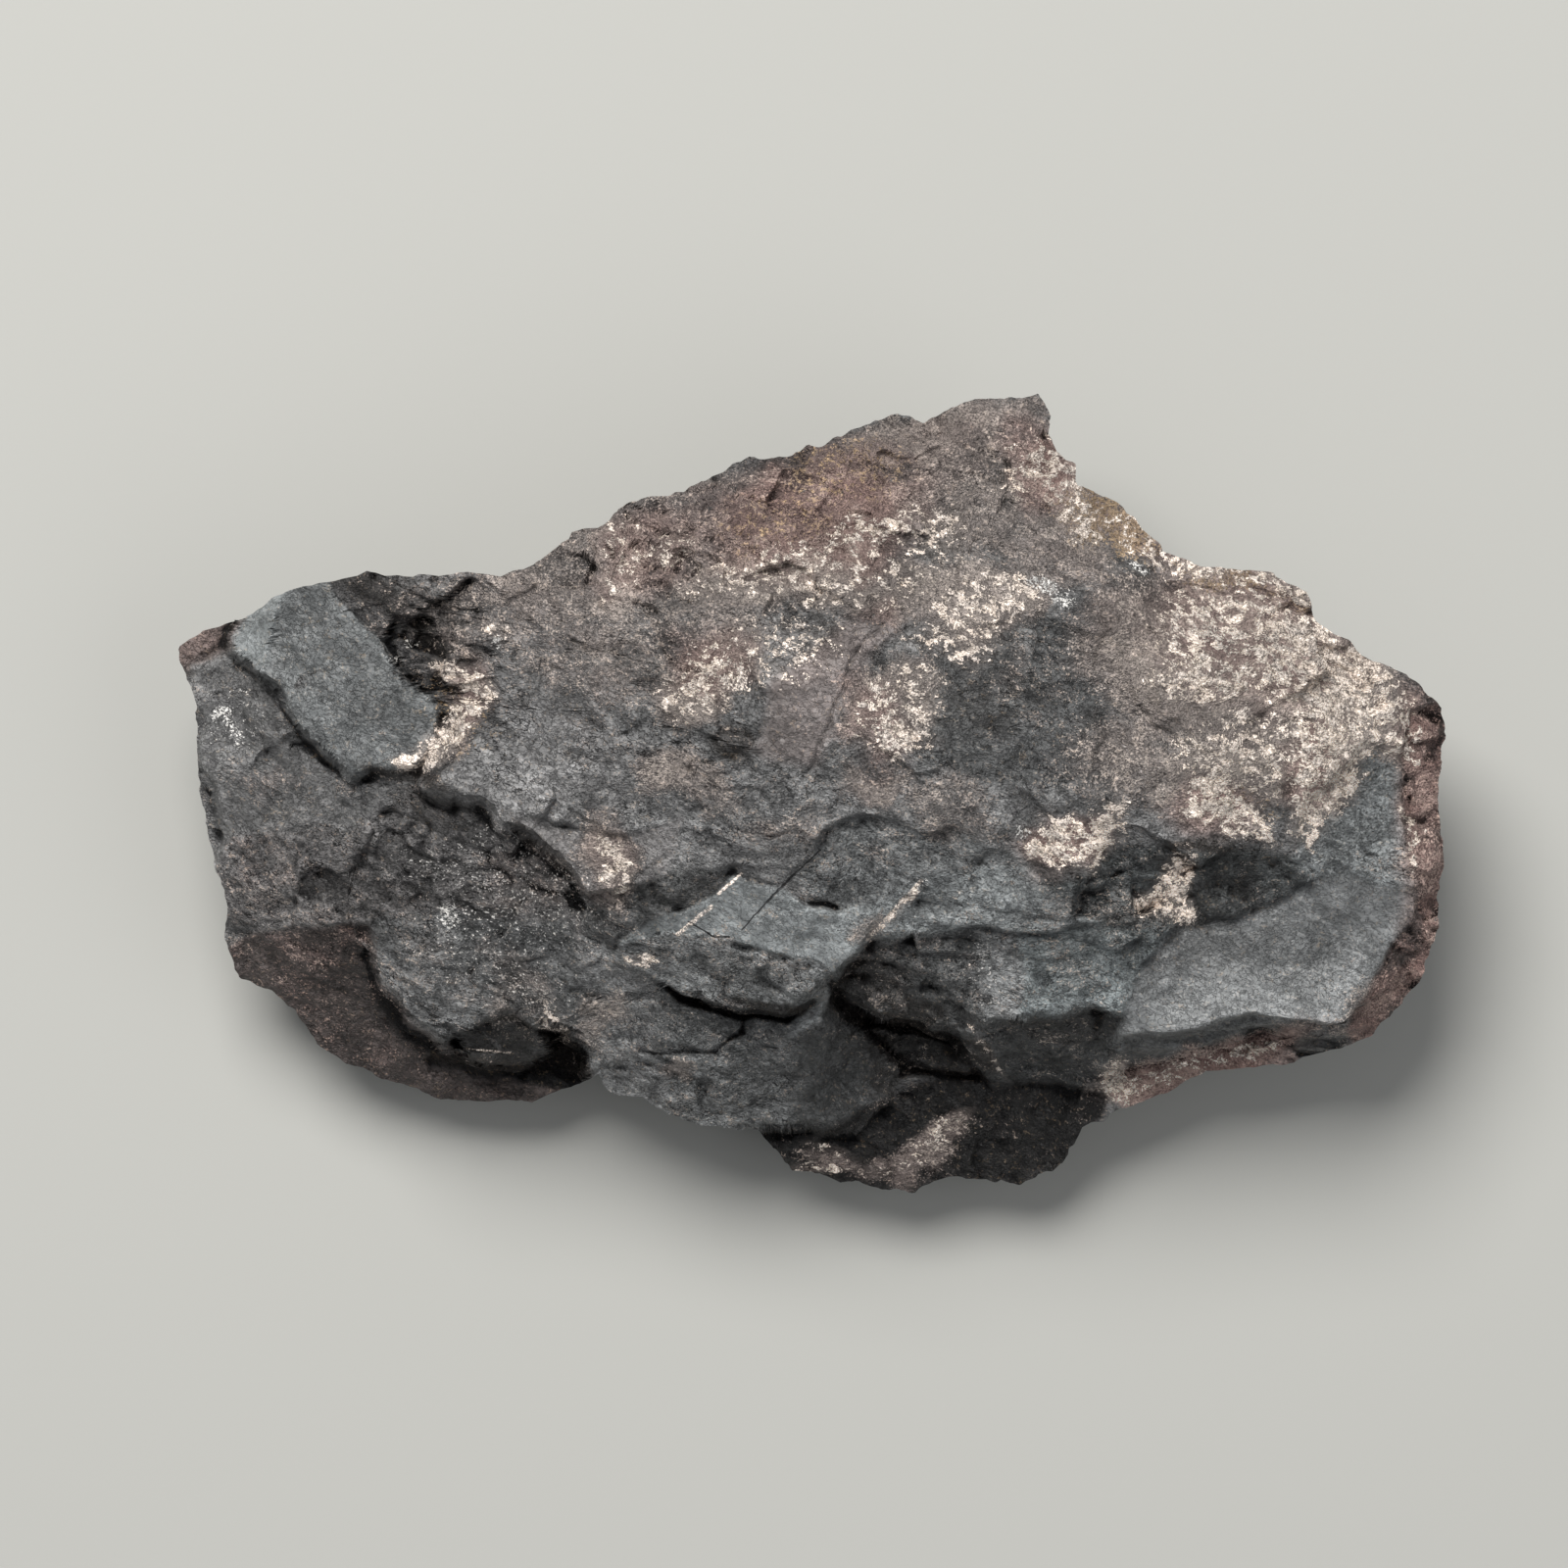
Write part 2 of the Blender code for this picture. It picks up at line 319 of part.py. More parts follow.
def survey_height(x, y, stiffness=2.0):
    """Height of a thin plate held near the survey heights."""
    pins = np.array(SURVEY)
    count = len(pins)
    apart = (pins[:, None, 0] - pins[None, :, 0]) ** 2 + (pins[:, None, 1] - pins[None, :, 1]) ** 2
    tilt = np.column_stack([np.ones(count), pins[:, :2]])
    system = np.zeros((count + 3, count + 3))
    system[:count, :count] = plate_kernel(apart) + stiffness * np.eye(count)
    system[:count, count:] = tilt
    system[count:, :count] = tilt.T
    pull = np.linalg.solve(system, np.append(pins[:, 2], [0.0, 0.0, 0.0]))
    height = pull[count] + pull[count + 1] * x + pull[count + 2] * y
    for (pin_x, pin_y, _), strength in zip(pins, pull):
        height = height + strength * plate_kernel((x - pin_x) ** 2 + (y - pin_y) ** 2)
    return height


def lay_face(height, grain, x, y, face):
    """Lays one cleaved face over the surface, inside its polygon and down a leaning wall around it."""
    wall, hollow, face_grain, corners = face
    low_x, low_y, _ = np.min(corners, axis=0) - wall - 1.0
    high_x, high_y, _ = np.max(corners, axis=0) + wall + 1.0
    near = (x > low_x) & (x < high_x) & (y > low_y) & (y < high_y)
    distance, edge_height = edge_place(x[near], y[near], corners)
    laid = np.where(distance > 0.02, spanned_height(x[near], y[near], corners), edge_height)
    laid -= hollow * eased(distance / max(distance.max(initial=0.0), 0.5))
    cover = eased(distance / (wall + WALL_LEAN * np.abs(edge_height - height[near])) + 1.0)
    height[near] += (laid - height[near]) * cover
    grain[near] += (face_grain - grain[near]) * cover


def stairs(t, riser=0.3):
    """Steps of unit height with level treads and steep risers."""
    tread = np.floor(t)
    return tread + eased((t - tread - 1.0 + riser) / riser)


def broad_face_height(x, y):
    """Height of the upper side at each place."""
    wandered_x = x + EDGE_WANDER * rubble(x, y, 1.4, 2, 11)
    wandered_y = y + EDGE_WANDER * rubble(x, y, 1.4, 2, 23)
    height = survey_height(wandered_x, wandered_y)
    grain = np.full(x.shape, OPEN_GRAIN)
    for face in FACES.values():
        lay_face(height, grain, wandered_x, wandered_y, face)
    bed = bed_number(x, y, height)
    present = eased(0.5 + noise(x, y, 5.0, 47))
    height += BED_STRENGTH * BED_SPACING * np.minimum(grain, 1.3) * present * (stairs(bed) - bed + 0.35)
    along, across = bedding_place(wandered_x, wandered_y)
    for number, (size, rise) in enumerate(CHIP_HEIGHTS):
        chip = chips(along / CHIP_STRETCH, across, size, 57 + 9 * number)
        uneven = 0.35 + 1.3 * eased(0.5 + 0.8 * rubble(x, y, 3.0, 2, 241 + number))
        height += rise * uneven * np.minimum(grain, 1.6) * chip
    return height


def bedding_place(x, y):
    """Places along and across the bedding, frayed so that chips get broken edges."""
    frayed_x = x + CHIP_FRAY * noise(x, y, 0.6, 31)
    frayed_y = y + CHIP_FRAY * noise(x, y, 0.6, 37)
    along = frayed_x * math.cos(CHIP_TURN) + frayed_y * math.sin(CHIP_TURN)
    return along, frayed_y * math.cos(CHIP_TURN) - frayed_x * math.sin(CHIP_TURN)


def bed_number(x, y, height):
    """Which bed of the stone a place lies in, counted through the thickness along its dip."""
    dip_x, dip_y = BED_DIP
    wobble = BED_BREAK * rubble(x / CHIP_STRETCH, y, 3.6, 3, 41)
    return (height + dip_x * x + dip_y * y + wobble) / BED_SPACING


def underside_height(x, y):
    """Height of the lower side: broken faces rising away from one level face under the base plane."""
    height = np.full(x.shape, -BASE_DEPTH)
    for direction, start, rise in UNDERSIDE:
        turn = math.radians(direction)
        out = x * math.cos(turn) + y * math.sin(turn)
        height = np.maximum(height, rise * (out - start))
    broken = eased((height + BASE_DEPTH) / BASE_DEPTH)
    bed = (height + 0.5 * rubble(x, y, 4.0, 3, 83)) / BED_SPACING
    rough = 0.4 * (stairs(bed) - bed) + chips(x, y, 3.0, 97) + 0.4 * chips(x, y, 1.4, 103)
    return height + UNDERSIDE_GRAIN * broken * rough


def outline_reach(angle):
    """Distance from the middle to the outline in each direction, with a finely ragged edge."""
    ahead_x, ahead_y = np.cos(angle), np.sin(angle)
    reach = np.zeros(angle.shape)
    for (ax, ay), (bx, by) in zip(OUTLINE, OUTLINE[1:] + OUTLINE[:1]):
        run_x, run_y = bx - ax, by - ay
        slant = ahead_x * run_y - ahead_y * run_x
        slant = np.where(np.abs(slant) < 1e-9, 1e-9, slant)
        share = (ax * ahead_y - ay * ahead_x) / slant
        distance = (ax * run_y - ay * run_x) / slant
        hit = (share >= -1e-9) & (share <= 1 + 1e-9) & (distance > 0)
        reach = np.where(hit, np.maximum(reach, distance), reach)
    return reach + RIM_WANDER * (rubble(reach * ahead_x, reach * ahead_y, 1.3, 2, 131) - 0.6)


def square_grid():
    """A grid over the unit disk, carried there from a square ring by ring: radius and angle."""
    u, v = np.meshgrid(np.linspace(-1, 1, COLUMNS + 1), np.linspace(-1, 1, ROWS + 1))
    flat = np.abs(u) > np.abs(v)
    ring = np.where(flat, u, v)
    safe = np.where(ring == 0, 1.0, ring)
    turn = np.where(flat, math.pi / 4 * v / safe, math.pi / 2 - math.pi / 4 * u / safe)
    return np.abs(ring), turn + np.where(ring < 0, math.pi, 0.0)


def rim_order():
    """Grid numbers of the rim, anticlockwise from the lower left corner."""
    number = np.arange((ROWS + 1) * (COLUMNS + 1)).reshape(ROWS + 1, COLUMNS + 1)
    return np.concatenate([number[0, :-1], number[:-1, -1], number[-1, :0:-1], number[:0:-1, 0]])


def stone_points():
    """Places of the upper grid, of the lower grid, and of the side rows between their rims."""
    radius, angle = square_grid()
    reach = outline_reach(angle)
    upper_x, upper_y = radius * reach * np.cos(angle), radius * reach * np.sin(angle)
    lower_x, lower_y = (radius * (reach - UNDERCUT) * turn(angle) for turn in (np.cos, np.sin))
    upper = np.stack([upper_x, upper_y, broad_face_height(upper_x, upper_y)], axis=-1).reshape(-1, 3)
    roof = broad_face_height(lower_x, lower_y) - EDGE_THICKNESS
    lower_z = np.minimum(underside_height(lower_x, lower_y), roof)
    lower = np.stack([lower_x, lower_y, lower_z], axis=-1).reshape(-1, 3)
    rim = rim_order()
    lower[rim, 2] = np.minimum(lower[rim, 2], upper[rim, 2] - EDGE_THICKNESS)
    return np.concatenate([upper, lower] + side_rows(upper[rim], lower[rim]))


def side_rows(top, foot):
    """Rows of points from the upper rim to the lower one, each bed broken back by its own amount."""
    reach = np.hypot(top[:, 0], top[:, 1])
    along = np.cumsum(np.hypot(*np.diff(top[:, :2], axis=0, prepend=top[-1:, :2]).T))
    rows = []
    for row in range(1, SIDE_ROWS):
        share = row / SIDE_ROWS
        place = top + share * (foot - top)
        x, y, z = place.T
        bed = bed_number(x, y, z)
        depth = 0.5 + 0.5 * noise(along, 4.0 * stairs(bed), 4.0, 151)
        depth += 0.35 * chips(along, 1.5 * z, 2.4, 163)
        away = eased((top[:, 2] - z) / 1.5) * eased((z - foot[:, 2]) / 1.5)
        place[:, :2] *= (1.0 - SIDE_BREAK * away * np.clip(depth, 0.0, 1.3) / reach)[:, None]
        rows.append(place)
    return rows


def sheet_quads(first, upward):
    """Quads of one grid whose points start at the given number."""
    number = first + np.arange((ROWS + 1) * (COLUMNS + 1)).reshape(ROWS + 1, COLUMNS + 1)
    quads = np.stack([number[:-1, :-1], number[:-1, 1:], number[1:, 1:], number[1:, :-1]], axis=-1)
    quads = quads.reshape(-1, 4)
    return quads if upward else quads[:, ::-1]


def side_quads(grid_size):
    """Quads of the side, from the upper rim down to the lower one."""
    rim = rim_order()
    rows = [rim]
    for row in range(SIDE_ROWS - 1):
        rows.append(2 * grid_size + row * len(rim) + np.arange(len(rim)))
    rows.append(grid_size + rim)
    quads = []
    for above, below in zip(rows[:-1], rows[1:]):
        quads.append(np.stack([below, np.roll(below, -1), np.roll(above, -1), above], axis=-1))
    return np.concatenate(quads)


def thinned(full_object):
    """The object's mesh with its flatter stretches drawn in fewer triangles."""
    thin = full_object.modifiers.new("thin", "DECIMATE")
    triangles = sum(len(polygon.vertices) - 2 for polygon in full_object.data.polygons)
    thin.ratio = FACE_COUNT / triangles
    view = bpy.context.evaluated_depsgraph_get()
    mesh = bpy.data.meshes.new_from_object(full_object.evaluated_get(view))
    full_object.modifiers.clear()
    return mesh


def keep_main_piece(form):
    """Drops the shallow pockets that the cut has closed off under the base."""
    left = set(form.verts)
    pieces = []
    while left:
        piece = [left.pop()]
        for vertex in piece:
            for edge in vertex.link_edges:
                other = edge.other_vert(vertex)
                if other in left:
                    left.remove(other)
                    piece.append(other)
        pieces.append(piece)
    pieces.sort(key=len)
    for piece in pieces[:-1]:
        bmesh.ops.delete(form, geom=piece, context="VERTS")


def cut_level(mesh):
    """Cuts the stone off at the base plane and closes the cut with one level face."""
    form = bmesh.new()
    form.from_mesh(mesh)
    everything = form.verts[:] + form.edges[:] + form.faces[:]
    cut = bmesh.ops.bisect_plane(form, geom=everything, dist=1e-7, plane_co=(0, 0, 0),
                                 plane_no=(0, 0, -1), clear_outer=True)
    rim = [item for item in cut["geom_cut"] if isinstance(item, bmesh.types.BMEdge)]
    bmesh.ops.contextual_create(form, geom=rim)
    keep_main_piece(form)
    bmesh.ops.remove_doubles(form, verts=form.verts, dist=1e-7)
    bmesh.ops.dissolve_degenerate(form, edges=form.edges, dist=1e-6)
    bmesh.ops.triangulate(form, faces=form.faces[:])
    bmesh.ops.recalc_face_normals(form, faces=form.faces[:])
    form.to_mesh(mesh)
    form.free()


def set_to_size(mesh):
    """Brings the stone to its three sizes, with the middle of its box on the Z axis."""
    places = np.array([vertex.co[:] for vertex in mesh.vertices])
    low, high = places.min(axis=0), places.max(axis=0)
    middle = (low + high) / 2
    middle[2] = 0.0
    size = np.array([STONE_LENGTH, STONE_WIDTH, STONE_THICKNESS]) * MILLIMETRE
    places = (places - middle) * size / (high - low)
    mesh.vertices.foreach_set("co", places.ravel())
    mesh.update()


def hematite_material():
    """Slate grey iron ore with a dull metallic sheen."""
    material = bpy.data.materials.new("hematite")
    material.use_nodes = True
    finish = material.node_tree.nodes["Principled BSDF"]
    finish.inputs["Base Color"].default_value = (0.105, 0.108, 0.115, 1.0)
    finish.inputs["Roughness"].default_value = 0.55
    finish.inputs["Metallic"].default_value = 0.25
    return material


def hematite_stone():
    """The whole stone as one closed solid standing on the base plane."""
    points = stone_points() * MILLIMETRE
    grid_size = (ROWS + 1) * (COLUMNS + 1)
    quads = np.concatenate([sheet_quads(0, True), sheet_quads(grid_size, False), side_quads(grid_size)])
    mesh = bpy.data.meshes.new("hematite_stone")
    mesh.from_pydata(points.tolist(), [], quads.tolist())
    stone = bpy.data.objects.new("hematite_stone", mesh)
    bpy.context.collection.objects.link(stone)
    bpy.context.view_layer.update()
    stone.data = thinned(stone)
    cut_level(stone.data)
    set_to_size(stone.data)
    stone.data.materials.append(hematite_material())
    return stone


def main():
    for old in list(bpy.data.objects):
        bpy.data.objects.remove(old, do_unlink=True)
    hematite_stone()


main()
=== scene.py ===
# A broken, platy piece of hematite ore lying on a pale table, seen from straight above.
import math

import bpy
import numpy as np
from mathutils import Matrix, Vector


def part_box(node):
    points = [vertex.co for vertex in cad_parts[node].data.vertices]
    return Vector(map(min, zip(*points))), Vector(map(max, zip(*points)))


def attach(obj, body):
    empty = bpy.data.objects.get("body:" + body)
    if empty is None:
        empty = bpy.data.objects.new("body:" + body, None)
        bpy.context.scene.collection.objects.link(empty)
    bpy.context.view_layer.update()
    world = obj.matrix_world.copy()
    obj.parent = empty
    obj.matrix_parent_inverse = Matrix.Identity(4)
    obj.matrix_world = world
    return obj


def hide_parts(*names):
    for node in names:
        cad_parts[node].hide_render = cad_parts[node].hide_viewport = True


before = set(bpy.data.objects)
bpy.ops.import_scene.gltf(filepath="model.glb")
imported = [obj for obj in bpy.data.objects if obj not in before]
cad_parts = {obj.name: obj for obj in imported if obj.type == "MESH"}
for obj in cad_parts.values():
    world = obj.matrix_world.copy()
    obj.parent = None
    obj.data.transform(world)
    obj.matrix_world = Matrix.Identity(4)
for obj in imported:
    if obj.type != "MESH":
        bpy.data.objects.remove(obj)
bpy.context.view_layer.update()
stoneLow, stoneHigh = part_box("hematite_stone")
print("frame loaded")

# The stone's form. Lengths are millimetres, X along the stone, Y across it, Z up through it
stoneForm = {
    "columns": 470, "rows": 306, "sideRows": 46,  # grid of the upper and lower sheets, rows of the side
    "triangles": 192000,  # kept after the flat stretches are thinned
    "mapStep": 0.05, "mapEdge": 3.0, "mapSoftness": 0.028,  # even grid of the broad face, and its softening
    "hollowRadii": (0.22, 0.6, 1.7),
    "steepShare": 0.56,  # how far grid lines crowd where the ground is steep
    "edgeThickness": 1.0, "undercut": 0.5, "baseDepth": 0.6,
    "wallLean": 0.16, "edgeWander": 0.22, "edgeFray": 0.10, "rimWander": 0.16,
    "plateStiffness": 2.0, "plainGrain": 0.85,
    "bedSpacing": 1.15, "bedDip": (0.10, 0.30), "bedStrength": 0.22, "bedBreak": 1.1,
    "chipTurn": -18.0, "chipStretch": 1.5,  # chips and crevices run along the bedding
    # their size, rise and step in tone
    "chipHeights": ((3.4, 0.24, 0.0), (1.5, 0.17, 0.13), (0.75, 0.12, 0.10), (0.46, 0.05, 0.06)),
    "chipSeed": 57, "unevenNoise": (3.0, 2, 241),  # how unevenly the chips show; one seed more for each size
    "mostGrain": {"beds": 1.3, "chips": 2.0, "crevices": 1.5},  # rougher ground counts up to this
    "undersideGrain": 0.30, "sideBreak": 0.9, "sideFade": 1.5,  # nothing breaks near the rim and foot
    "wallLayers": 0.18,  # how deep the thin layers on steep walls are broken back
    "creviceDepth": 0.20, "creviceWidth": 0.24, "creviceStretch": 1.8,
    "creviceNoises": ((2.0, 251), (1.2, 263)),  # size and seed
    "sharpAngle": 42.0,
    "crustRise": 0.07,
    # finest roughness, added square to the surface: its depth, stretch, seed, and sizes with shares
    "skinGrain": 0.034, "skinStretch": 1.4, "skinSeed": 501, "skinSizes": ((0.60, 1.0), (0.36, 0.7)),
}

# Noises of the form and the looks: size in millimetres, octaves, seed, and the gain where it isn't 0.5
noises = {
    "wanderX": (1.4, 2, 11), "wanderY": (1.4, 2, 23), "frayX": (0.6, 1, 31), "frayY": (0.6, 1, 37),
    "bedWobble": (3.6, 3, 41), "bedPatches": (5.0, 1, 47), "crustLumps": (0.45, 1, 71),
    "undersideBeds": (4.0, 3, 83), "rim": (1.3, 4, 131, 0.6), "sideBeds": (4.0, 1, 151),
    "sideLayers": (3.0, 1, 173), "wallLayers": (3.0, 1, 211), "spotX": (1.3, 3, 301),
    "spotY": (1.3, 3, 311), "clouds": (5.0, 3, 401),
}

# Kinds of chips besides those of the broad face: size and seed
chipKinds = {
    "underside": (3.0, 97), "undersideSmall": (1.4, 103), "side": (2.4, 163), "sideSmall": (0.8, 179),
    "wall": (1.1, 217),
}

# Rougher stretches of the broad face: middle, half length, half width, turn in degrees, strength
crags = [
    (-7.0, 9.6, 3.4, 2.2, 30, 0.8), (-1.0, 11.2, 4.6, 2.4, 12, 1.0), (5.4, 13.0, 3.4, 2.4, 10, 1.0),
    (20.6, 5.4, 3.2, 2.2, -40, 0.9), (-13.8, 5.4, 1.4, 4.0, 24, 1.2), (-7.6, -2.6, 1.6, 1.8, 20, 0.5),
    (1.6, 7.0, 1.6, 1.6, 0, 0.7), (14.4, -4.0, 3.6, 1.3, 14, 0.6), (24.4, -3.0, 0.9, 7.0, 0, 1.0),
    (-19.6, -5.4, 3.6, 2.4, -20, 0.6), (3.6, -8.6, 2.6, 1.2, -10, 0.6), (-4.4, 2.4, 1.6, 2.6, 20, 0.5),
]

# Thin cracks of the broad face: half width, depth (below zero for a fine ridge), points
cracks = [
    (0.12, 0.16, [(3.3, 7.7), (1.6, 4.7), (0.7, 2.6), (-0.4, 0.6)]),
    (0.16, 0.32, [(-6.5, -10.0), (-4.9, -9.8), (-3.8, -10.0), (-2.6, -9.4), (-2.4, -8.8)]),
    (0.14, 0.28, [(-3.0, -8.2), (-2.6, -8.7), (-1.3, -8.7), (-0.7, -8.2)]),
    (0.10, 0.22, [(-2.6, -9.3), (-1.8, -9.8), (-1.3, -9.8)]),
    (0.10, 0.18, [(-7.6, -10.9), (-6.5, -10.5), (-5.3, -11.1)]),
    (0.09, 0.16, [(-3.9, -10.6), (-3.3, -11.1)]),
    (0.10, 0.18, [(-11.9, 3.1), (-11.2, 2.2), (-10.3, 1.3)]),
    (0.12, -0.12, [(-6.7, 5.4), (-6.2, 4.9), (-5.5, 4.7), (-4.9, 4.9)]),
    (0.16, 0.24, [(-8.9, 10.3), (-8.3, 9.4), (-8.5, 8.3)]),
    (0.10, 0.16, [(11.2, 7.6), (11.6, 6.6), (11.0, 5.2)]),
    (0.10, 0.16, [(-5.6, -2.3), (-6.6, -2.9), (-7.7, -4.5)]),
]

# Outline of the broad face, clockwise from its left tip
outlinePoints = [
    (-25.1, 6.0), (-24.2, 6.7), (-22.2, 7.1), (-21.2, 7.9), (-20.6, 8.1), (-18.4, 8.6), (-17.2, 8.9),
    (-16.5, 8.7), (-13.4, 8.9), (-12.0, 8.7), (-10.7, 9.1), (-9.2, 10.4), (-8.1, 10.7), (-7.1, 11.5),
    (-4.9, 12.1), (-2.4, 13.3), (0.4, 13.8), (1.2, 14.3), (3.5, 15.1), (4.6, 14.9), (6.6, 15.8),
    (7.7, 15.6), (9.0, 15.85), (9.6, 15.1), (9.4, 14.3), (10.4, 13.0), (10.6, 12.3), (12.6, 11.4),
    (14.1, 9.8), (15.5, 9.2), (18.3, 8.9), (19.5, 8.1), (19.8, 7.1), (22.2, 5.6), (24.0, 4.5),
    (25.06, 3.6), (24.9, 0.8), (25.06, -2.5), (24.9, -5.2), (24.1, -7.4), (23.2, -8.6), (21.4, -9.8),
    (19.3, -10.6), (16.0, -10.9), (12.8, -12.3), (10.9, -13.1), (10.2, -14.6), (8.5, -15.5),
    (5.6, -15.2), (4.3, -15.85), (2.0, -15.3), (-0.6, -15.0), (-2.0, -13.2), (-5.0, -12.7),
    (-8.0, -11.5), (-8.4, -11.1), (-11.0, -12.2), (-14.8, -12.1), (-17.4, -10.9), (-18.5, -10.7),
    (-21.0, -8.0), (-22.6, -7.2), (-23.3, -5.4), (-23.2, -4.2), (-23.8, -1.4), (-24.3, 2.4),
    (-24.45, 4.4),
]

outlineLow, outlineHigh = np.min(outlinePoints, axis=0), np.max(outlinePoints, axis=0)

# Heights of the broad face where its slope changes: along the rim, then across it
surveyHeights = [
    (-25.1, 6.0, 5.8), (-22.3, 7.1, 6.8), (-20.4, 8.3, 9.6), (-16.5, 8.9, 10.8), (-12.7, 8.9, 11.6),
    (-8.8, 10.6, 11.6), (-4.9, 12.1, 11.4), (-0.7, 13.6, 11.0), (4.7, 15.0, 10.6), (8.6, 15.8, 9.8),
    (10.5, 12.4, 10.8), (14.0, 9.9, 10.8), (18.3, 8.9, 9.9), (21.8, 6.0, 9.6), (25.0, 3.6, 8.7),
    (25.0, -1.5, 8.0), (24.8, -5.3, 7.3), (22.2, -9.4, 6.2), (18.0, -10.6, 4.6), (13.3, -12.0, 4.2),
    (10.2, -14.0, 3.2), (5.0, -15.6, 2.6), (-0.3, -15.3, 2.8), (-2.0, -13.1, 4.2), (-6.0, -12.0, 4.8),
    (-8.4, -11.2, 4.0), (-12.7, -12.2, 2.6), (-17.3, -11.2, 3.0), (-21.0, -8.0, 4.0),
    (-23.3, -5.3, 5.0), (-23.9, -1.5, 6.0), (-24.4, 3.0, 6.8),
    (-10.0, 7.5, 12.6), (-5.0, 8.5, 13.2), (0.0, 9.5, 13.2), (5.0, 10.5, 12.6), (-8.0, 3.0, 13.2),
    (-3.0, 4.0, 14.2), (2.0, 4.0, 14.4), (7.0, 5.0, 13.8), (12.0, 5.0, 13.2), (17.0, 5.0, 12.2),
    (21.0, 3.0, 11.0), (-3.0, 0.0, 14.0), (3.0, 0.0, 13.8), (9.0, 0.5, 13.4), (15.0, 1.0, 12.6),
    (20.0, 0.0, 11.0), (-9.0, -1.0, 12.8), (-4.0, -2.6, 13.0), (2.0, -3.0, 12.8), (7.0, -3.0, 12.4),
    (12.0, -2.8, 11.6), (17.0, -2.6, 10.6), (-19.0, 2.0, 9.4), (-15.0, -1.5, 10.0),
    (-20.0, -3.0, 8.2), (-11.0, -4.0, 10.4), (-15.0, -6.0, 8.8), (-10.0, -8.0, 8.4),
    (-18.0, -8.5, 5.2), (-4.0, -6.0, 10.6), (2.0, -6.0, 10.4), (7.0, -6.0, 10.4), (-4.0, -9.0, 8.0),
    (0.5, -10.0, 6.8), (5.0, -11.0, 5.0), (9.5, -9.5, 7.6), (12.0, -7.0, 9.2), (17.0, -6.5, 8.2),
    (20.5, -5.0, 8.4),
]

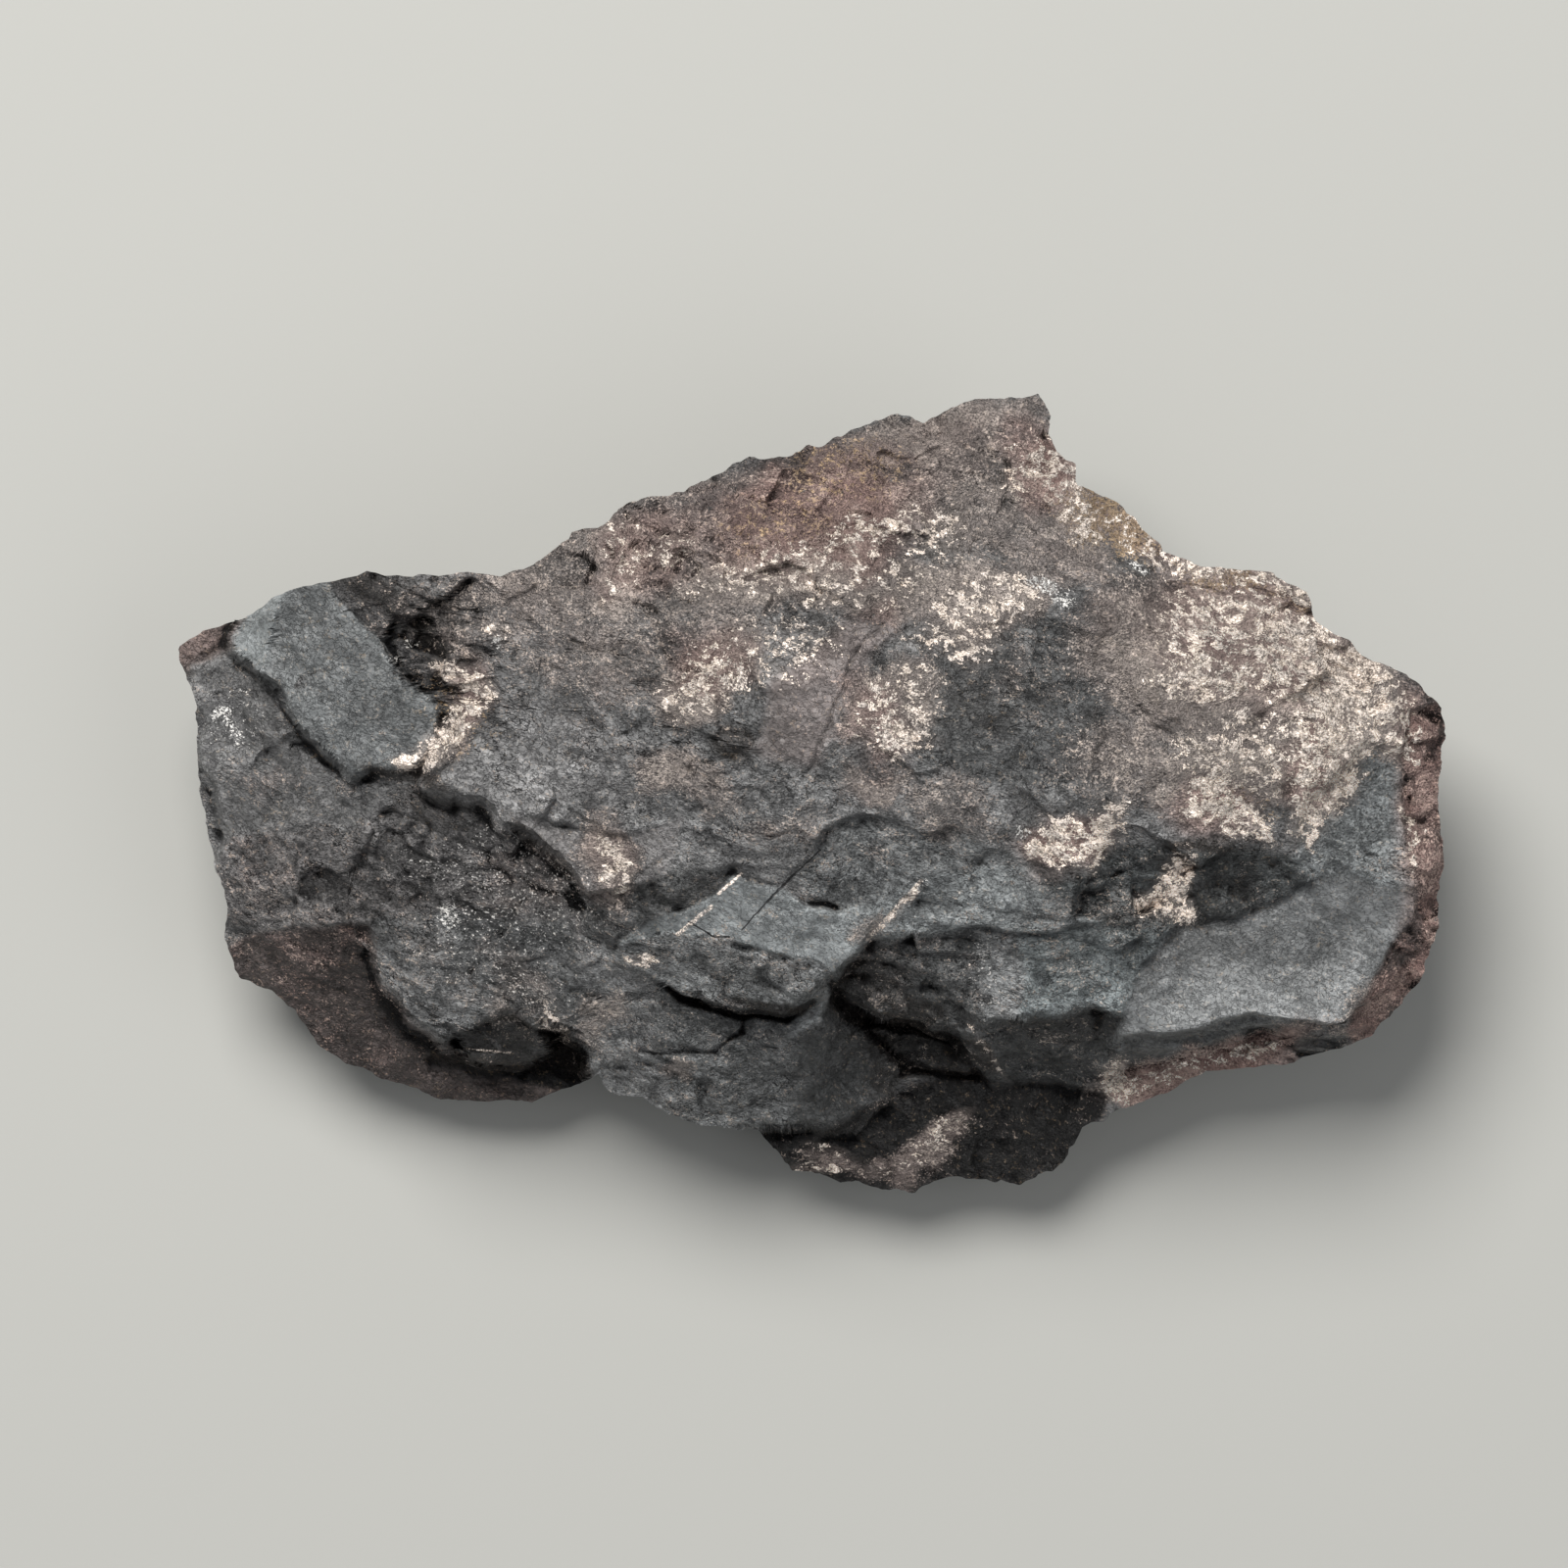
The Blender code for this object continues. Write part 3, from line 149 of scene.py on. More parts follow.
# Cleaved faces in the order in which they are laid: width of the wall at their edge, hollow at
# their middle, share of the grain that shows on them, and corners with their heights
cleavedFaces = {
    "tipFlake": (0.4, 0.0, 0.8, [
        (-25.6, 6.0, 5.7), (-24.3, 7.2, 6.3), (-22.2, 7.8, 7.2), (-22.2, 5.8, 7.3), (-23.3, 5.3, 6.9),
        (-24.8, 5.0, 6.3)]),
    "leftShelf": (0.4, 0.0, 0.5, [
        (-24.0, 5.2, 7.2), (-22.3, 5.8, 8.3), (-21.3, 4.6, 8.8), (-19.6, 2.2, 9.2), (-18.1, 0.4, 9.7),
        (-15.5, 0.2, 10.3), (-17.0, -1.2, 9.6), (-20.5, -1.8, 8.3), (-22.8, -1.8, 7.2),
        (-23.5, 1.0, 7.5), (-23.8, 3.2, 7.4)]),
    "flank": (0.4, 0.3, 1.3, [
        (-22.8, -1.8, 7.2), (-20.5, -1.7, 8.3), (-17.0, -1.1, 9.6), (-15.5, 0.3, 10.3),
        (-12.5, -0.1, 10.9), (-10.2, -1.9, 11.0), (-8.3, -3.9, 10.8), (-7.8, -6.0, 10.1),
        (-9.0, -7.5, 9.0), (-14.0, -5.5, 9.1), (-17.2, -4.6, 8.3), (-21.5, -5.2, 6.4),
        (-23.0, -4.5, 5.7)]),
    "lowerFacet": (0.3, 0.2, 0.6, [
        (-22.9, -6.2, 5.0), (-21.8, -5.7, 5.9), (-19.0, -5.4, 7.0), (-17.3, -5.2, 7.5),
        (-15.6, -7.6, 6.4), (-13.0, -8.6, 5.6), (-10.0, -8.8, 5.2), (-8.2, -10.4, 4.2),
        (-8.4, -11.6, 3.6), (-11.0, -12.6, 3.0), (-15.0, -12.5, 2.7), (-18.9, -11.2, 3.0),
        (-22.0, -8.0, 4.0)]),
    "lowerSlab": (0.25, 0.0, 0.9, [
        (-17.3, -4.8, 8.4), (-13.5, -4.6, 9.15), (-9.5, -5.0, 9.8), (-8.3, -7.5, 9.2),
        (-7.6, -10.0, 8.0), (-8.2, -10.9, 7.3), (-10.0, -9.7, 7.9), (-11.1, -8.8, 8.2),
        (-12.7, -9.0, 8.1), (-14.3, -9.7, 7.6), (-15.6, -8.6, 7.8), (-16.6, -7.3, 8.0),
        (-17.0, -6.2, 8.2)]),
    "caveGap": (0.2, 0.2, 0.6, [
        (-14.1, -9.9, 5.2), (-13.5, -10.1, 4.4), (-12.0, -10.2, 4.0), (-10.9, -10.0, 3.8),
        (-10.2, -9.4, 3.8), (-9.3, -10.0, 3.4), (-8.5, -10.8, 3.2), (-8.5, -11.4, 3.2),
        (-9.4, -11.4, 3.3), (-10.8, -11.1, 3.4), (-12.2, -10.9, 3.8), (-13.6, -10.5, 4.4)]),
    "caveSlab": (0.12, 0.0, 0.9, [
        (-14.0, -9.4, 7.2), (-12.7, -8.9, 7.1), (-11.4, -8.6, 6.7), (-10.6, -9.1, 6.3), (-10.4, -9.7, 5.8),
        (-10.9, -10.2, 5.6), (-11.7, -10.3, 5.9), (-12.2, -10.1, 6.3), (-13.5, -10.1, 6.6)]),
    "plateauLeft": (0.3, 0.0, 0.7, [
        (-15.0, 0.7, 12.0), (-13.1, 2.2, 12.3), (-12.3, 3.2, 12.4), (-12.0, 4.4, 12.4),
        (-13.4, 5.8, 12.2), (-14.6, 7.2, 12.0), (-16.6, 8.6, 11.5), (-16.8, 9.4, 11.3), (-11.0, 9.6, 11.8),
        (-9.0, 5.0, 13.0), (-7.0, 2.0, 13.5), (-7.0, -1.2, 13.2), (-9.6, -0.6, 12.9),
        (-11.2, -0.8, 12.6), (-11.9, -0.9, 12.4), (-12.5, -0.2, 12.3), (-13.6, 0.5, 12.2)]),
    "crumblyBand": (0.2, 0.2, 2.4, [
        (-18.9, 9.2, 10.5), (-18.4, 7.6, 10.6), (-17.3, 6.4, 10.7), (-16.1, 4.9, 10.9), (-14.8, 4.2, 11.0),
        (-14.5, 3.2, 11.1), (-15.0, 0.9, 11.2), (-14.2, 1.4, 11.7), (-13.1, 2.2, 12.2), (-12.3, 3.2, 12.4),
        (-12.2, 4.5, 12.4), (-13.7, 5.7, 12.1), (-15.0, 7.0, 11.9), (-15.9, 7.8, 11.7),
        (-17.1, 8.4, 11.4), (-17.4, 9.4, 11.2)]),
    "leftPlate": (0.25, 0.0, 0.35, [
        (-22.3, 6.6, 9.4), (-21.0, 8.6, 9.8), (-18.9, 9.2, 10.5), (-18.4, 7.6, 10.8), (-17.3, 6.4, 11.0),
        (-16.1, 4.9, 11.2), (-14.8, 4.2, 11.4), (-14.6, 3.2, 11.4), (-14.8, 2.3, 11.4),
        (-15.5, 1.7, 11.3), (-16.2, 1.3, 11.1), (-16.9, 1.35, 11.0), (-17.9, 0.9, 10.9),
        (-18.7, 1.6, 10.7), (-19.8, 3.2, 10.4), (-20.5, 4.3, 10.2), (-21.3, 5.0, 9.9),
        (-22.3, 6.0, 9.5)]),
    "plateBevel": (0.15, 0.0, 0.2, [
        (-22.5, 6.4, 8.7), (-21.3, 8.5, 9.1), (-20.2, 8.7, 10.1), (-20.8, 7.0, 10.15),
        (-21.3, 5.0, 9.9), (-22.2, 5.9, 9.1)]),
    "wedge": (0.2, 0.0, 0.35, [
        (-11.2, -0.8, 12.4), (-8.8, -1.3, 12.55), (-7.2, -1.5, 12.8), (-5.0, -1.0, 13.45),
        (-5.3, -2.8, 12.9), (-6.8, -3.5, 12.7), (-7.7, -3.7, 12.65), (-8.3, -3.8, 12.65),
        (-8.9, -3.3, 12.6), (-10.1, -1.9, 12.5)]),
    "greenSlope": (0.25, 0.0, 0.9, [
        (-8.4, -3.8, 11.5), (-7.6, -3.8, 11.8), (-6.6, -3.5, 12.2), (-5.0, -3.0, 12.7),
        (-3.0, -3.0, 12.7), (-3.0, -3.5, 12.4), (-4.9, -4.5, 11.6), (-6.3, -5.4, 10.9),
        (-7.4, -6.1, 10.2), (-8.8, -5.6, 10.0)]),
    "bulgeLeft": (0.3, -0.1, 0.7, [
        (-8.8, -5.4, 10.1), (-7.4, -6.2, 10.2), (-6.0, -7.4, 9.6), (-5.8, -9.5, 8.4),
        (-5.2, -13.2, 5.8), (-8.2, -11.8, 6.0), (-8.4, -10.7, 6.9), (-8.2, -9.0, 8.3),
        (-8.8, -7.2, 9.3)]),
    "bulgeMiddle": (0.3, -0.2, 0.9, [
        (-7.4, -6.2, 10.2), (-3.6, -7.4, 9.2), (-1.2, -8.0, 8.9), (0.7, -7.5, 9.2), (0.2, -9.0, 8.3),
        (-0.3, -11.0, 7.0), (-0.5, -13.5, 5.4), (-5.2, -13.2, 5.8), (-5.8, -9.5, 8.4), (-6.0, -7.4, 9.6)]),
    "darkHollow": (0.6, 0.3, 0.5, [
        (0.7, -7.5, 9.0), (1.5, -8.1, 7.4), (2.8, -9.2, 5.6), (3.4, -10.8, 4.8), (3.3, -12.2, 4.6),
        (1.0, -13.5, 4.7), (-0.5, -13.5, 5.3), (-0.3, -11.0, 7.0), (0.2, -9.0, 8.3)]),
    "tongue": (0.25, 0.0, 1.1, [
        (-2.2, -13.3, 4.1), (1.0, -13.3, 4.3), (2.9, -12.2, 4.5), (5.5, -11.1, 4.7), (9.0, -11.0, 4.7),
        (11.9, -11.3, 4.5), (11.2, -13.2, 4.0), (10.4, -14.8, 3.4), (8.3, -16.0, 3.0),
        (4.4, -16.3, 2.8), (-0.8, -15.6, 3.0)]),
    "cave": (0.25, 0.2, 0.8, [
        (0.9, -7.2, 6.4), (3.0, -8.2, 4.9), (4.8, -8.7, 4.3), (6.8, -9.3, 4.1), (7.6, -11.0, 4.0),
        (5.6, -11.1, 4.1), (3.8, -10.9, 4.2), (2.9, -9.6, 4.4), (1.7, -8.3, 5.4)]),
    "caveShelf": (0.15, 0.1, 0.8, [
        (2.5, -9.2, 5.9), (4.4, -9.5, 6.0), (5.8, -9.9, 5.8), (6.7, -10.5, 5.4), (6.2, -10.8, 5.2),
        (4.8, -10.6, 5.3), (3.5, -10.1, 5.6)]),
    "darkSlope": (0.3, 0.0, 0.9, [
        (7.1, -8.8, 9.4), (10.8, -8.3, 9.0), (12.6, -8.4, 8.8), (12.5, -10.2, 7.2),
        (12.2, -11.4, 5.2), (9.0, -11.1, 5.3), (7.4, -11.3, 5.1), (6.4, -9.3, 8.4)]),
    "laminated": (0.2, 0.0, 1.4, [
        (2.0, -5.9, 10.9), (4.7, -5.3, 11.0), (6.5, -5.3, 11.0), (6.5, -7.0, 10.4), (7.1, -8.8, 9.6),
        (6.4, -9.3, 9.1), (4.8, -8.6, 9.1), (3.0, -8.2, 9.0), (1.0, -7.3, 9.4), (1.3, -6.7, 10.2)]),
    "speckled": (0.2, 0.0, 0.8, [
        (6.4, -5.3, 11.0), (8.3, -5.1, 11.0), (8.6, -7.2, 10.5), (8.6, -8.6, 10.1), (7.1, -8.8, 9.6),
        (6.6, -7.0, 10.3)]),
    "tealFacet": (0.2, 0.1, 0.6, [
        (8.3, -5.1, 11.0), (11.3, -4.8, 10.6), (14.5, -5.0, 9.6), (14.6, -7.4, 9.1),
        (12.3, -8.2, 9.4), (10.8, -8.3, 9.6), (8.6, -8.6, 10.1), (8.4, -7.2, 10.5)]),
    "stepRight": (0.25, 0.0, 0.8, [
        (0.7, -1.6, 13.1), (1.5, -0.9, 13.3), (2.8, -0.9, 13.2), (4.8, -1.5, 12.9), (6.5, -1.7, 12.8),
        (7.7, -2.4, 12.5), (4.6, -3.1, 12.4), (2.4, -4.1, 12.1), (1.4, -4.3, 12.1),
        (-0.3, -3.4, 12.6)]),
    "middleShelf": (0.2, 0.0, 0.7, [
        (2.4, -4.2, 12.1), (4.6, -3.1, 12.4), (8.5, -2.6, 12.4), (9.5, -3.2, 12.0),
        (12.5, -3.2, 11.3), (11.5, -4.6, 10.9), (8.6, -5.0, 11.4), (5.0, -5.2, 11.6),
        (2.2, -5.4, 11.7)]),
    "underRight": (0.3, 0.2, 1.3, [
        (8.6, -2.4, 12.3), (10.5, -3.1, 11.8), (11.6, -2.2, 11.9), (13.7, -2.1, 11.6),
        (16.5, -2.1, 11.0), (19.4, -2.4, 10.2), (20.3, -3.5, 9.3), (18.3, -4.4, 9.0),
        (15.3, -5.0, 9.1), (12.2, -4.8, 10.3), (10.6, -4.4, 11.0)]),
    "tealRight": (0.25, 0.1, 0.7, [
        (19.2, -2.4, 10.3), (19.6, -1.4, 10.4), (19.8, -0.3, 10.6), (20.9, 0.7, 10.4),
        (21.9, 2.0, 10.1), (23.6, 1.8, 9.2), (23.8, -1.5, 8.9), (23.9, -3.5, 8.3), (22.5, -3.7, 8.7),
        (21.4, -3.3, 9.2), (20.2, -3.4, 9.4)]),
    "rightScoop": (0.3, 0.3, 0.3, [
        (14.5, -5.2, 9.1), (18.3, -4.4, 8.9), (20.3, -3.4, 9.3), (21.4, -3.3, 9.1), (22.6, -3.7, 8.6),
        (23.8, -3.6, 8.2), (23.8, -4.8, 8.0), (22.8, -6.2, 8.2), (22.0, -7.6, 8.5), (20.9, -9.0, 8.7),
        (18.3, -8.6, 9.1), (17.2, -8.4, 9.2), (16.0, -8.8, 9.1), (14.4, -9.2, 8.9), (12.5, -9.6, 8.6),
        (12.4, -8.2, 9.2)]),
    "rightRim": (0.2, 0.0, 1.2, [
        (23.4, 3.4, 9.1), (25.6, 3.8, 8.6), (25.6, -5.4, 7.0), (24.4, -8.4, 6.4), (21.2, -11.0, 5.6),
        (20.6, -9.9, 7.0), (21.2, -9.2, 8.0), (22.2, -7.6, 8.1), (23.0, -6.2, 8.0), (23.8, -4.8, 7.8),
        (23.6, -1.5, 8.8)]),
    "lipWall": (0.15, 0.0, 0.5, [
        (12.5, -9.6, 8.2), (14.4, -9.2, 8.6), (16.0, -8.8, 8.8), (17.2, -8.4, 8.9), (18.3, -8.6, 8.8),
        (20.9, -9.0, 8.3), (21.4, -10.0, 6.4), (19.2, -10.0, 5.6), (17.9, -9.5, 5.6),
        (14.8, -10.3, 5.3), (12.9, -10.9, 5.1), (12.2, -11.4, 5.0)]),
    "lightStrip": (0.2, -0.1, 0.9, [
        (12.0, -11.6, 4.9), (12.9, -10.9, 5.1), (14.8, -10.3, 5.3), (17.9, -9.4, 5.6),
        (19.2, -10.0, 5.5), (19.6, -11.2, 4.7), (16.0, -11.4, 4.4), (12.8, -12.8, 4.0)]),
    "flakeGap": (0.2, 0.0, 0.6, [
        (-5.5, -7.3, 8.0), (-2.6, -8.0, 7.4), (-0.6, -8.1, 7.4), (0.4, -7.4, 8.2), (-0.1, -7.9, 7.6),
        (-0.8, -8.6, 7.2), (-1.8, -8.5, 7.2), (-3.2, -8.3, 7.2), (-4.8, -7.9, 8.0)]),
    "lightChip": (0.15, 0.0, 0.3, [
        (0.6, -7.6, 9.3), (0.4, -8.5, 8.7), (-0.6, -9.2, 8.2), (-0.9, -8.9, 8.2), (-0.3, -8.1, 8.7)]),
    "flakeBody": (0.2, 0.0, 1.4, [
        (-7.4, -5.9, 10.4), (-3.8, -4.9, 11.9), (-2.0, -5.6, 12.1), (0.3, -6.3, 12.0),
        (0.9, -6.9, 11.7), (-0.6, -7.7, 11.1), (-1.2, -8.2, 10.6), (-3.6, -7.9, 10.3),
        (-5.0, -7.3, 10.2), (-7.1, -6.5, 10.1)]),
    "flakeTop": (0.15, 0.0, 0.2, [
        (-7.2, -5.7, 10.7), (-4.9, -4.3, 11.9), (-3.0, -3.3, 12.7), (-1.4, -3.6, 12.6),
        (0.9, -4.6, 12.3), (1.4, -4.4, 12.3), (2.6, -4.3, 12.2), (2.2, -5.5, 12.1), (1.0, -6.9, 11.9),
        (0.5, -6.6, 12.0), (-1.5, -5.9, 12.3), (-3.2, -5.1, 12.1), (-5.0, -5.2, 11.5)]),
    "darkSlab": (0.2, 0.0, 0.7, [
        (4.4, 6.3, 13.85), (6.7, 6.7, 13.35), (8.2, 7.1, 12.95), (9.4, 7.4, 12.8), (11.1, 6.4, 12.85),
        (13.3, 6.0, 12.65), (13.5, 2.0, 12.95), (12.5, 0.5, 12.9), (8.0, 0.6, 13.5), (4.5, 1.4, 14.0),
        (3.6, 3.2, 14.25)]),
    "upperSlab": (0.2, 0.0, 0.5, [
        (9.8, 9.9, 12.05), (12.6, 9.4, 11.6), (14.6, 7.4, 12.0), (14.0, 6.9, 12.4), (11.0, 6.4, 13.1),
        (9.2, 7.3, 13.15)]),
    "brownTriangle": (0.66, 0.0, 0.25, [
        (3.0, 7.5, 13.85), (0.5, 5.8, 14.3), (-1.1, 4.4, 14.4), (-1.5, 2.0, 14.3), (0.0, 1.6, 14.35),
        (0.7, 2.6, 14.45), (1.5, 4.4, 14.5), (2.9, 6.4, 14.25)]),
}

# Faces of the underside: direction that each looks in degrees from +X, how far from the middle
# it leaves the resting face, and how steeply it rises from there
undersideFaces = [
    (0, 14.0, 0.42), (38, 14.0, 0.85), (84, 6.5, 0.75), (128, 8.5, 0.62), (175, 14.0, 0.42),
    (220, 13.0, 0.30), (268, 8.0, 0.20), (315, 13.0, 0.38),
]


# Repeatable value from -1 to 1 for each whole-numbered place: the numbers are mixed bit by bit
def lattice(column, row, seed):
    mixed = (column * 374761393 + row * 668265263 + seed * 974634777) & 0xffffffff
    mixed = ((mixed ^ (mixed >> 13)) * 1274126177) & 0xffffffff
    return ((mixed ^ (mixed >> 16)) & 0xffff) / 32767.5 - 1.0


# Soft step: 3t^2 - 2t^3 between 0 and 1
def eased(t):
    t = np.clip(t, 0.0, 1.0)
    return t * t * (3.0 - 2.0 * t)


# Value noise: lattice values blended by soft steps along X and Y
def noise(x, y, size, seed):
    column = np.floor(x / size).astype(np.int64)
    row = np.floor(y / size).astype(np.int64)
    across = eased(x / size - column)
    up = eased(y / size - row)
    low = lattice(column, row, seed) * (1 - across) + lattice(column + 1, row, seed) * across
    high = lattice(column, row + 1, seed) * (1 - across) + lattice(column + 1, row + 1, seed) * across
    return low * (1 - up) + high * up


# Sum of noises, each half the size of the one before and weaker by the gain
def rubble(x, y, size, octaves, seed, gain=0.5):
    total = np.zeros(np.shape(x))
    for octave in range(octaves):
        total += gain ** octave * noise(x, y, size / 2 ** octave, seed + octave)
    return total


# One of the noises above
def named(name, x, y):
    return rubble(x, y, *noises[name])


# Noise along a wall, new for each whole layer: a layer is one noise size away from the next
def layerNoise(name, along, layer):
    return named(name, along, noises[name][0] * layer)


# Noise in three directions: two sheets of value noise, blended by height, each moved off the last
def solidNoise(x, y, z, size, seed):
    def sheet(number):
        return noise(x + 5.37 * number * size, y - 3.91 * number * size, size, seed)

    layer = np.floor(z / size).astype(np.int64)
    rise = eased(z / size - layer)
    return sheet(layer) * (1 - rise) + sheet(layer + 1) * rise


# Broken chips: the nearest jittered lattice point gives each chip its own height, tilt and number
def chips(x, y, size, seed):
    column = np.floor(x / size).astype(np.int64)
    row = np.floor(y / size).astype(np.int64)
    nearest = np.full(x.shape, np.inf)
    height = np.zeros(x.shape)
    number = np.zeros(x.shape)
    for aside in (-1, 0, 1):
        for above in (-1, 0, 1):
            cell = column + aside, row + above
            fromX = x / size - cell[0] - 0.5 - 0.42 * lattice(*cell, seed)
            fromY = y / size - cell[1] - 0.5 - 0.42 * lattice(*cell, seed + 1)
            gap = fromX ** 2 + fromY ** 2
            tilt = fromX * lattice(*cell, seed + 2) + fromY * lattice(*cell, seed + 3)
            closer = gap < nearest
            height = np.where(closer, 0.5 * lattice(*cell, seed + 4) + tilt, height)
            number = np.where(closer, lattice(*cell, seed + 5), number)
            nearest = np.minimum(nearest, gap)
    return height, number


# Height of one of the kinds of chips above
def chipHeight(name, x, y):
    return chips(x, y, *chipKinds[name])[0]


# Steps of unit height: level treads, then a soft riser over the last share of each
def stairs(t, riser=0.3):
    tread = np.floor(t)
    return tread + eased((t - tread - 1.0 + riser) / riser)


# Nearest place of a segment: share of the way along it, (away . run) / |run|^2 held to 0 to 1, and
# the distance to it
def segmentPlace(x, y, start, end):
    awayX, awayY = x - start[0], y - start[1]
    runX, runY = end[0] - start[0], end[1] - start[1]
    along = np.clip((awayX * runX + awayY * runY) / (runX ** 2 + runY ** 2), 0.0, 1.0)
    return along, np.hypot(awayX - along * runX, awayY - along * runY)


# Distance inside a polygon's edge, negative outside, and the height of its nearest edge point
def edgePlace(x, y, corners):
    here = np.array(corners, float)
    nearest = np.full(x.shape, np.inf)
    height = np.zeros(x.shape)
    inside = np.zeros(x.shape, bool)
    for (ax, ay, az), (bx, by, bz) in zip(here, np.roll(here, -1, axis=0)):
        along, gap = segmentPlace(x, y, (ax, ay), (bx, by))
        height = np.where(gap < nearest, az + along * (bz - az), height)
        nearest = np.minimum(nearest, gap)
        if ay != by:
            inside ^= ((ay > y) != (by > y)) & (x < ax + (y - ay) * (bx - ax) / (by - ay))
    return np.where(inside, nearest, -nearest), height


# Distance to the nearest point of a line through some points
def lineGap(x, y, points):
    return np.min([segmentPlace(x, y, *ends)[1] for ends in zip(points, points[1:])], axis=0)


# Mean value height: each corner weighs tan(a/2) + tan(b/2) of its two angles over its distance
def spannedHeight(x, y, corners):
    here = np.array(corners, float)
    toX = here[:, 0, None] - x
    toY = here[:, 1, None] - y
    reach = np.hypot(toX, toY) + 1e-6
    nextX, nextY, nextReach = (np.roll(values, -1, axis=0) for values in (toX, toY, reach))
    halfAngle = (toX * nextY - toY * nextX) / (reach * nextReach + toX * nextX + toY * nextY + 1e-6)
    weight = (halfAngle + np.roll(halfAngle, 1, axis=0)) / reach
    return (weight * here[:, 2, None]).sum(axis=0) / weight.sum(axis=0)


# Thin plate held near the survey heights: a tilted plane plus one bend r^2 log r^2 for each pin
def surveyHeight(x, y):
    def bend(squared):
        return squared * np.log(squared + 1e-9)

    pins = np.array(surveyHeights)
    count = len(pins)
    apart = (pins[:, None, 0] - pins[None, :, 0]) ** 2 + (pins[:, None, 1] - pins[None, :, 1]) ** 2
    tilt = np.column_stack([np.ones(count), pins[:, :2]])
    system = np.zeros((count + 3, count + 3))
    system[:count, :count] = bend(apart) + stoneForm["plateStiffness"] * np.eye(count)
    system[:count, count:] = tilt
    system[count:, :count] = tilt.T
    pull = np.linalg.solve(system, np.append(pins[:, 2], [0.0, 0.0, 0.0]))
    height = pull[count] + pull[count + 1] * x + pull[count + 2] * y
    for (pinX, pinY, _), strength in zip(pins, pull):
        height = height + strength * bend((x - pinX) ** 2 + (y - pinY) ** 2)
    return height


# Near places of one face and how much it covers them: 1 inside, easing to 0 down its leaning wall
def faceCover(x, y, height, face):
    wall, _, _, corners = face
    margin = wall + 1.0
    (lowX, lowY, _), (highX, highY, _) = np.min(corners, axis=0) - margin, np.max(corners, axis=0) + margin
    near = (x > lowX) & (x < highX) & (y > lowY) & (y < highY)
    distance, edgeHeight = edgePlace(x[near], y[near], corners)
    reach = wall + stoneForm["wallLean"] * np.abs(edgeHeight - height[near])
    return near, distance, edgeHeight, eased(distance / reach + 1.0)


# Lays a cleaved face over the height, the grain and the looks: value + (face value - value) * cover
def layFace(ground, x, y, name):
    face = cleavedFaces[name]
    _, hollow, grain, corners = face
    near, distance, edgeHeight, cover = faceCover(x, y, ground["height"], face)
    laid = np.where(distance > 0.02, spannedHeight(x[near], y[near], corners), edgeHeight)
    laid -= hollow * eased(distance / max(distance.max(initial=0.0), 0.5))
    for part, value in zip(("height", "grain", *faceChannels), (laid, grain, *faceLooks[name])):
        ground[part][near] += (value - ground[part][near]) * cover


# Which bed a place lies in: height plus dip times place plus a wobble, over the spacing
def bedNumber(x, y, height):
    dipX, dipY = stoneForm["bedDip"]
    wobble = stoneForm["bedBreak"] * named("bedWobble", x / stoneForm["chipStretch"], y)
    return (height + dipX * x + dipY * y + wobble) / stoneForm["bedSpacing"]


# Places moved by a wandering noise, so that straight edges get broken ones
def wandered(x, y):
    wander = stoneForm["edgeWander"]
    return x + wander * named("wanderX", x, y), y + wander * named("wanderY", x, y)


# Places along and across the bedding, wandering and frayed so that chips get broken edges
def beddingPlace(x, y):
    turn = math.radians(stoneForm["chipTurn"])
    wanderedX, wanderedY = wandered(x, y)
    frayedX = wanderedX + stoneForm["edgeFray"] * named("frayX", x, y)
    frayedY = wanderedY + stoneForm["edgeFray"] * named("frayY", x, y)
    along = frayedX * math.cos(turn) + frayedY * math.sin(turn)
    return along, frayedY * math.cos(turn) - frayedX * math.sin(turn)


# Chips of one of the sizes of chipHeights
def beddingChips(along, across, number):
    size = stoneForm["chipHeights"][number][0]
    return chips(along / stoneForm["chipStretch"], across, size, stoneForm["chipSeed"] + 9 * number)


# Short crevices along the bedding, 0 to 1: where a drawn-out noise crosses zero and a second one allows it
def crevices(x, y):
    deepest = np.zeros(x.shape)
    for size, seed in stoneForm["creviceNoises"]:
        drawnOut = rubble(x / stoneForm["creviceStretch"], y, size, 2, seed)
        crossing = np.abs(drawnOut) / stoneForm["creviceWidth"] * size
        allowed = eased(2.2 * noise(x / 2.0, y, 1.3 * size, seed + 5) - 0.5)
        deepest = np.maximum(deepest, eased(1.0 - crossing) * allowed)
    return deepest


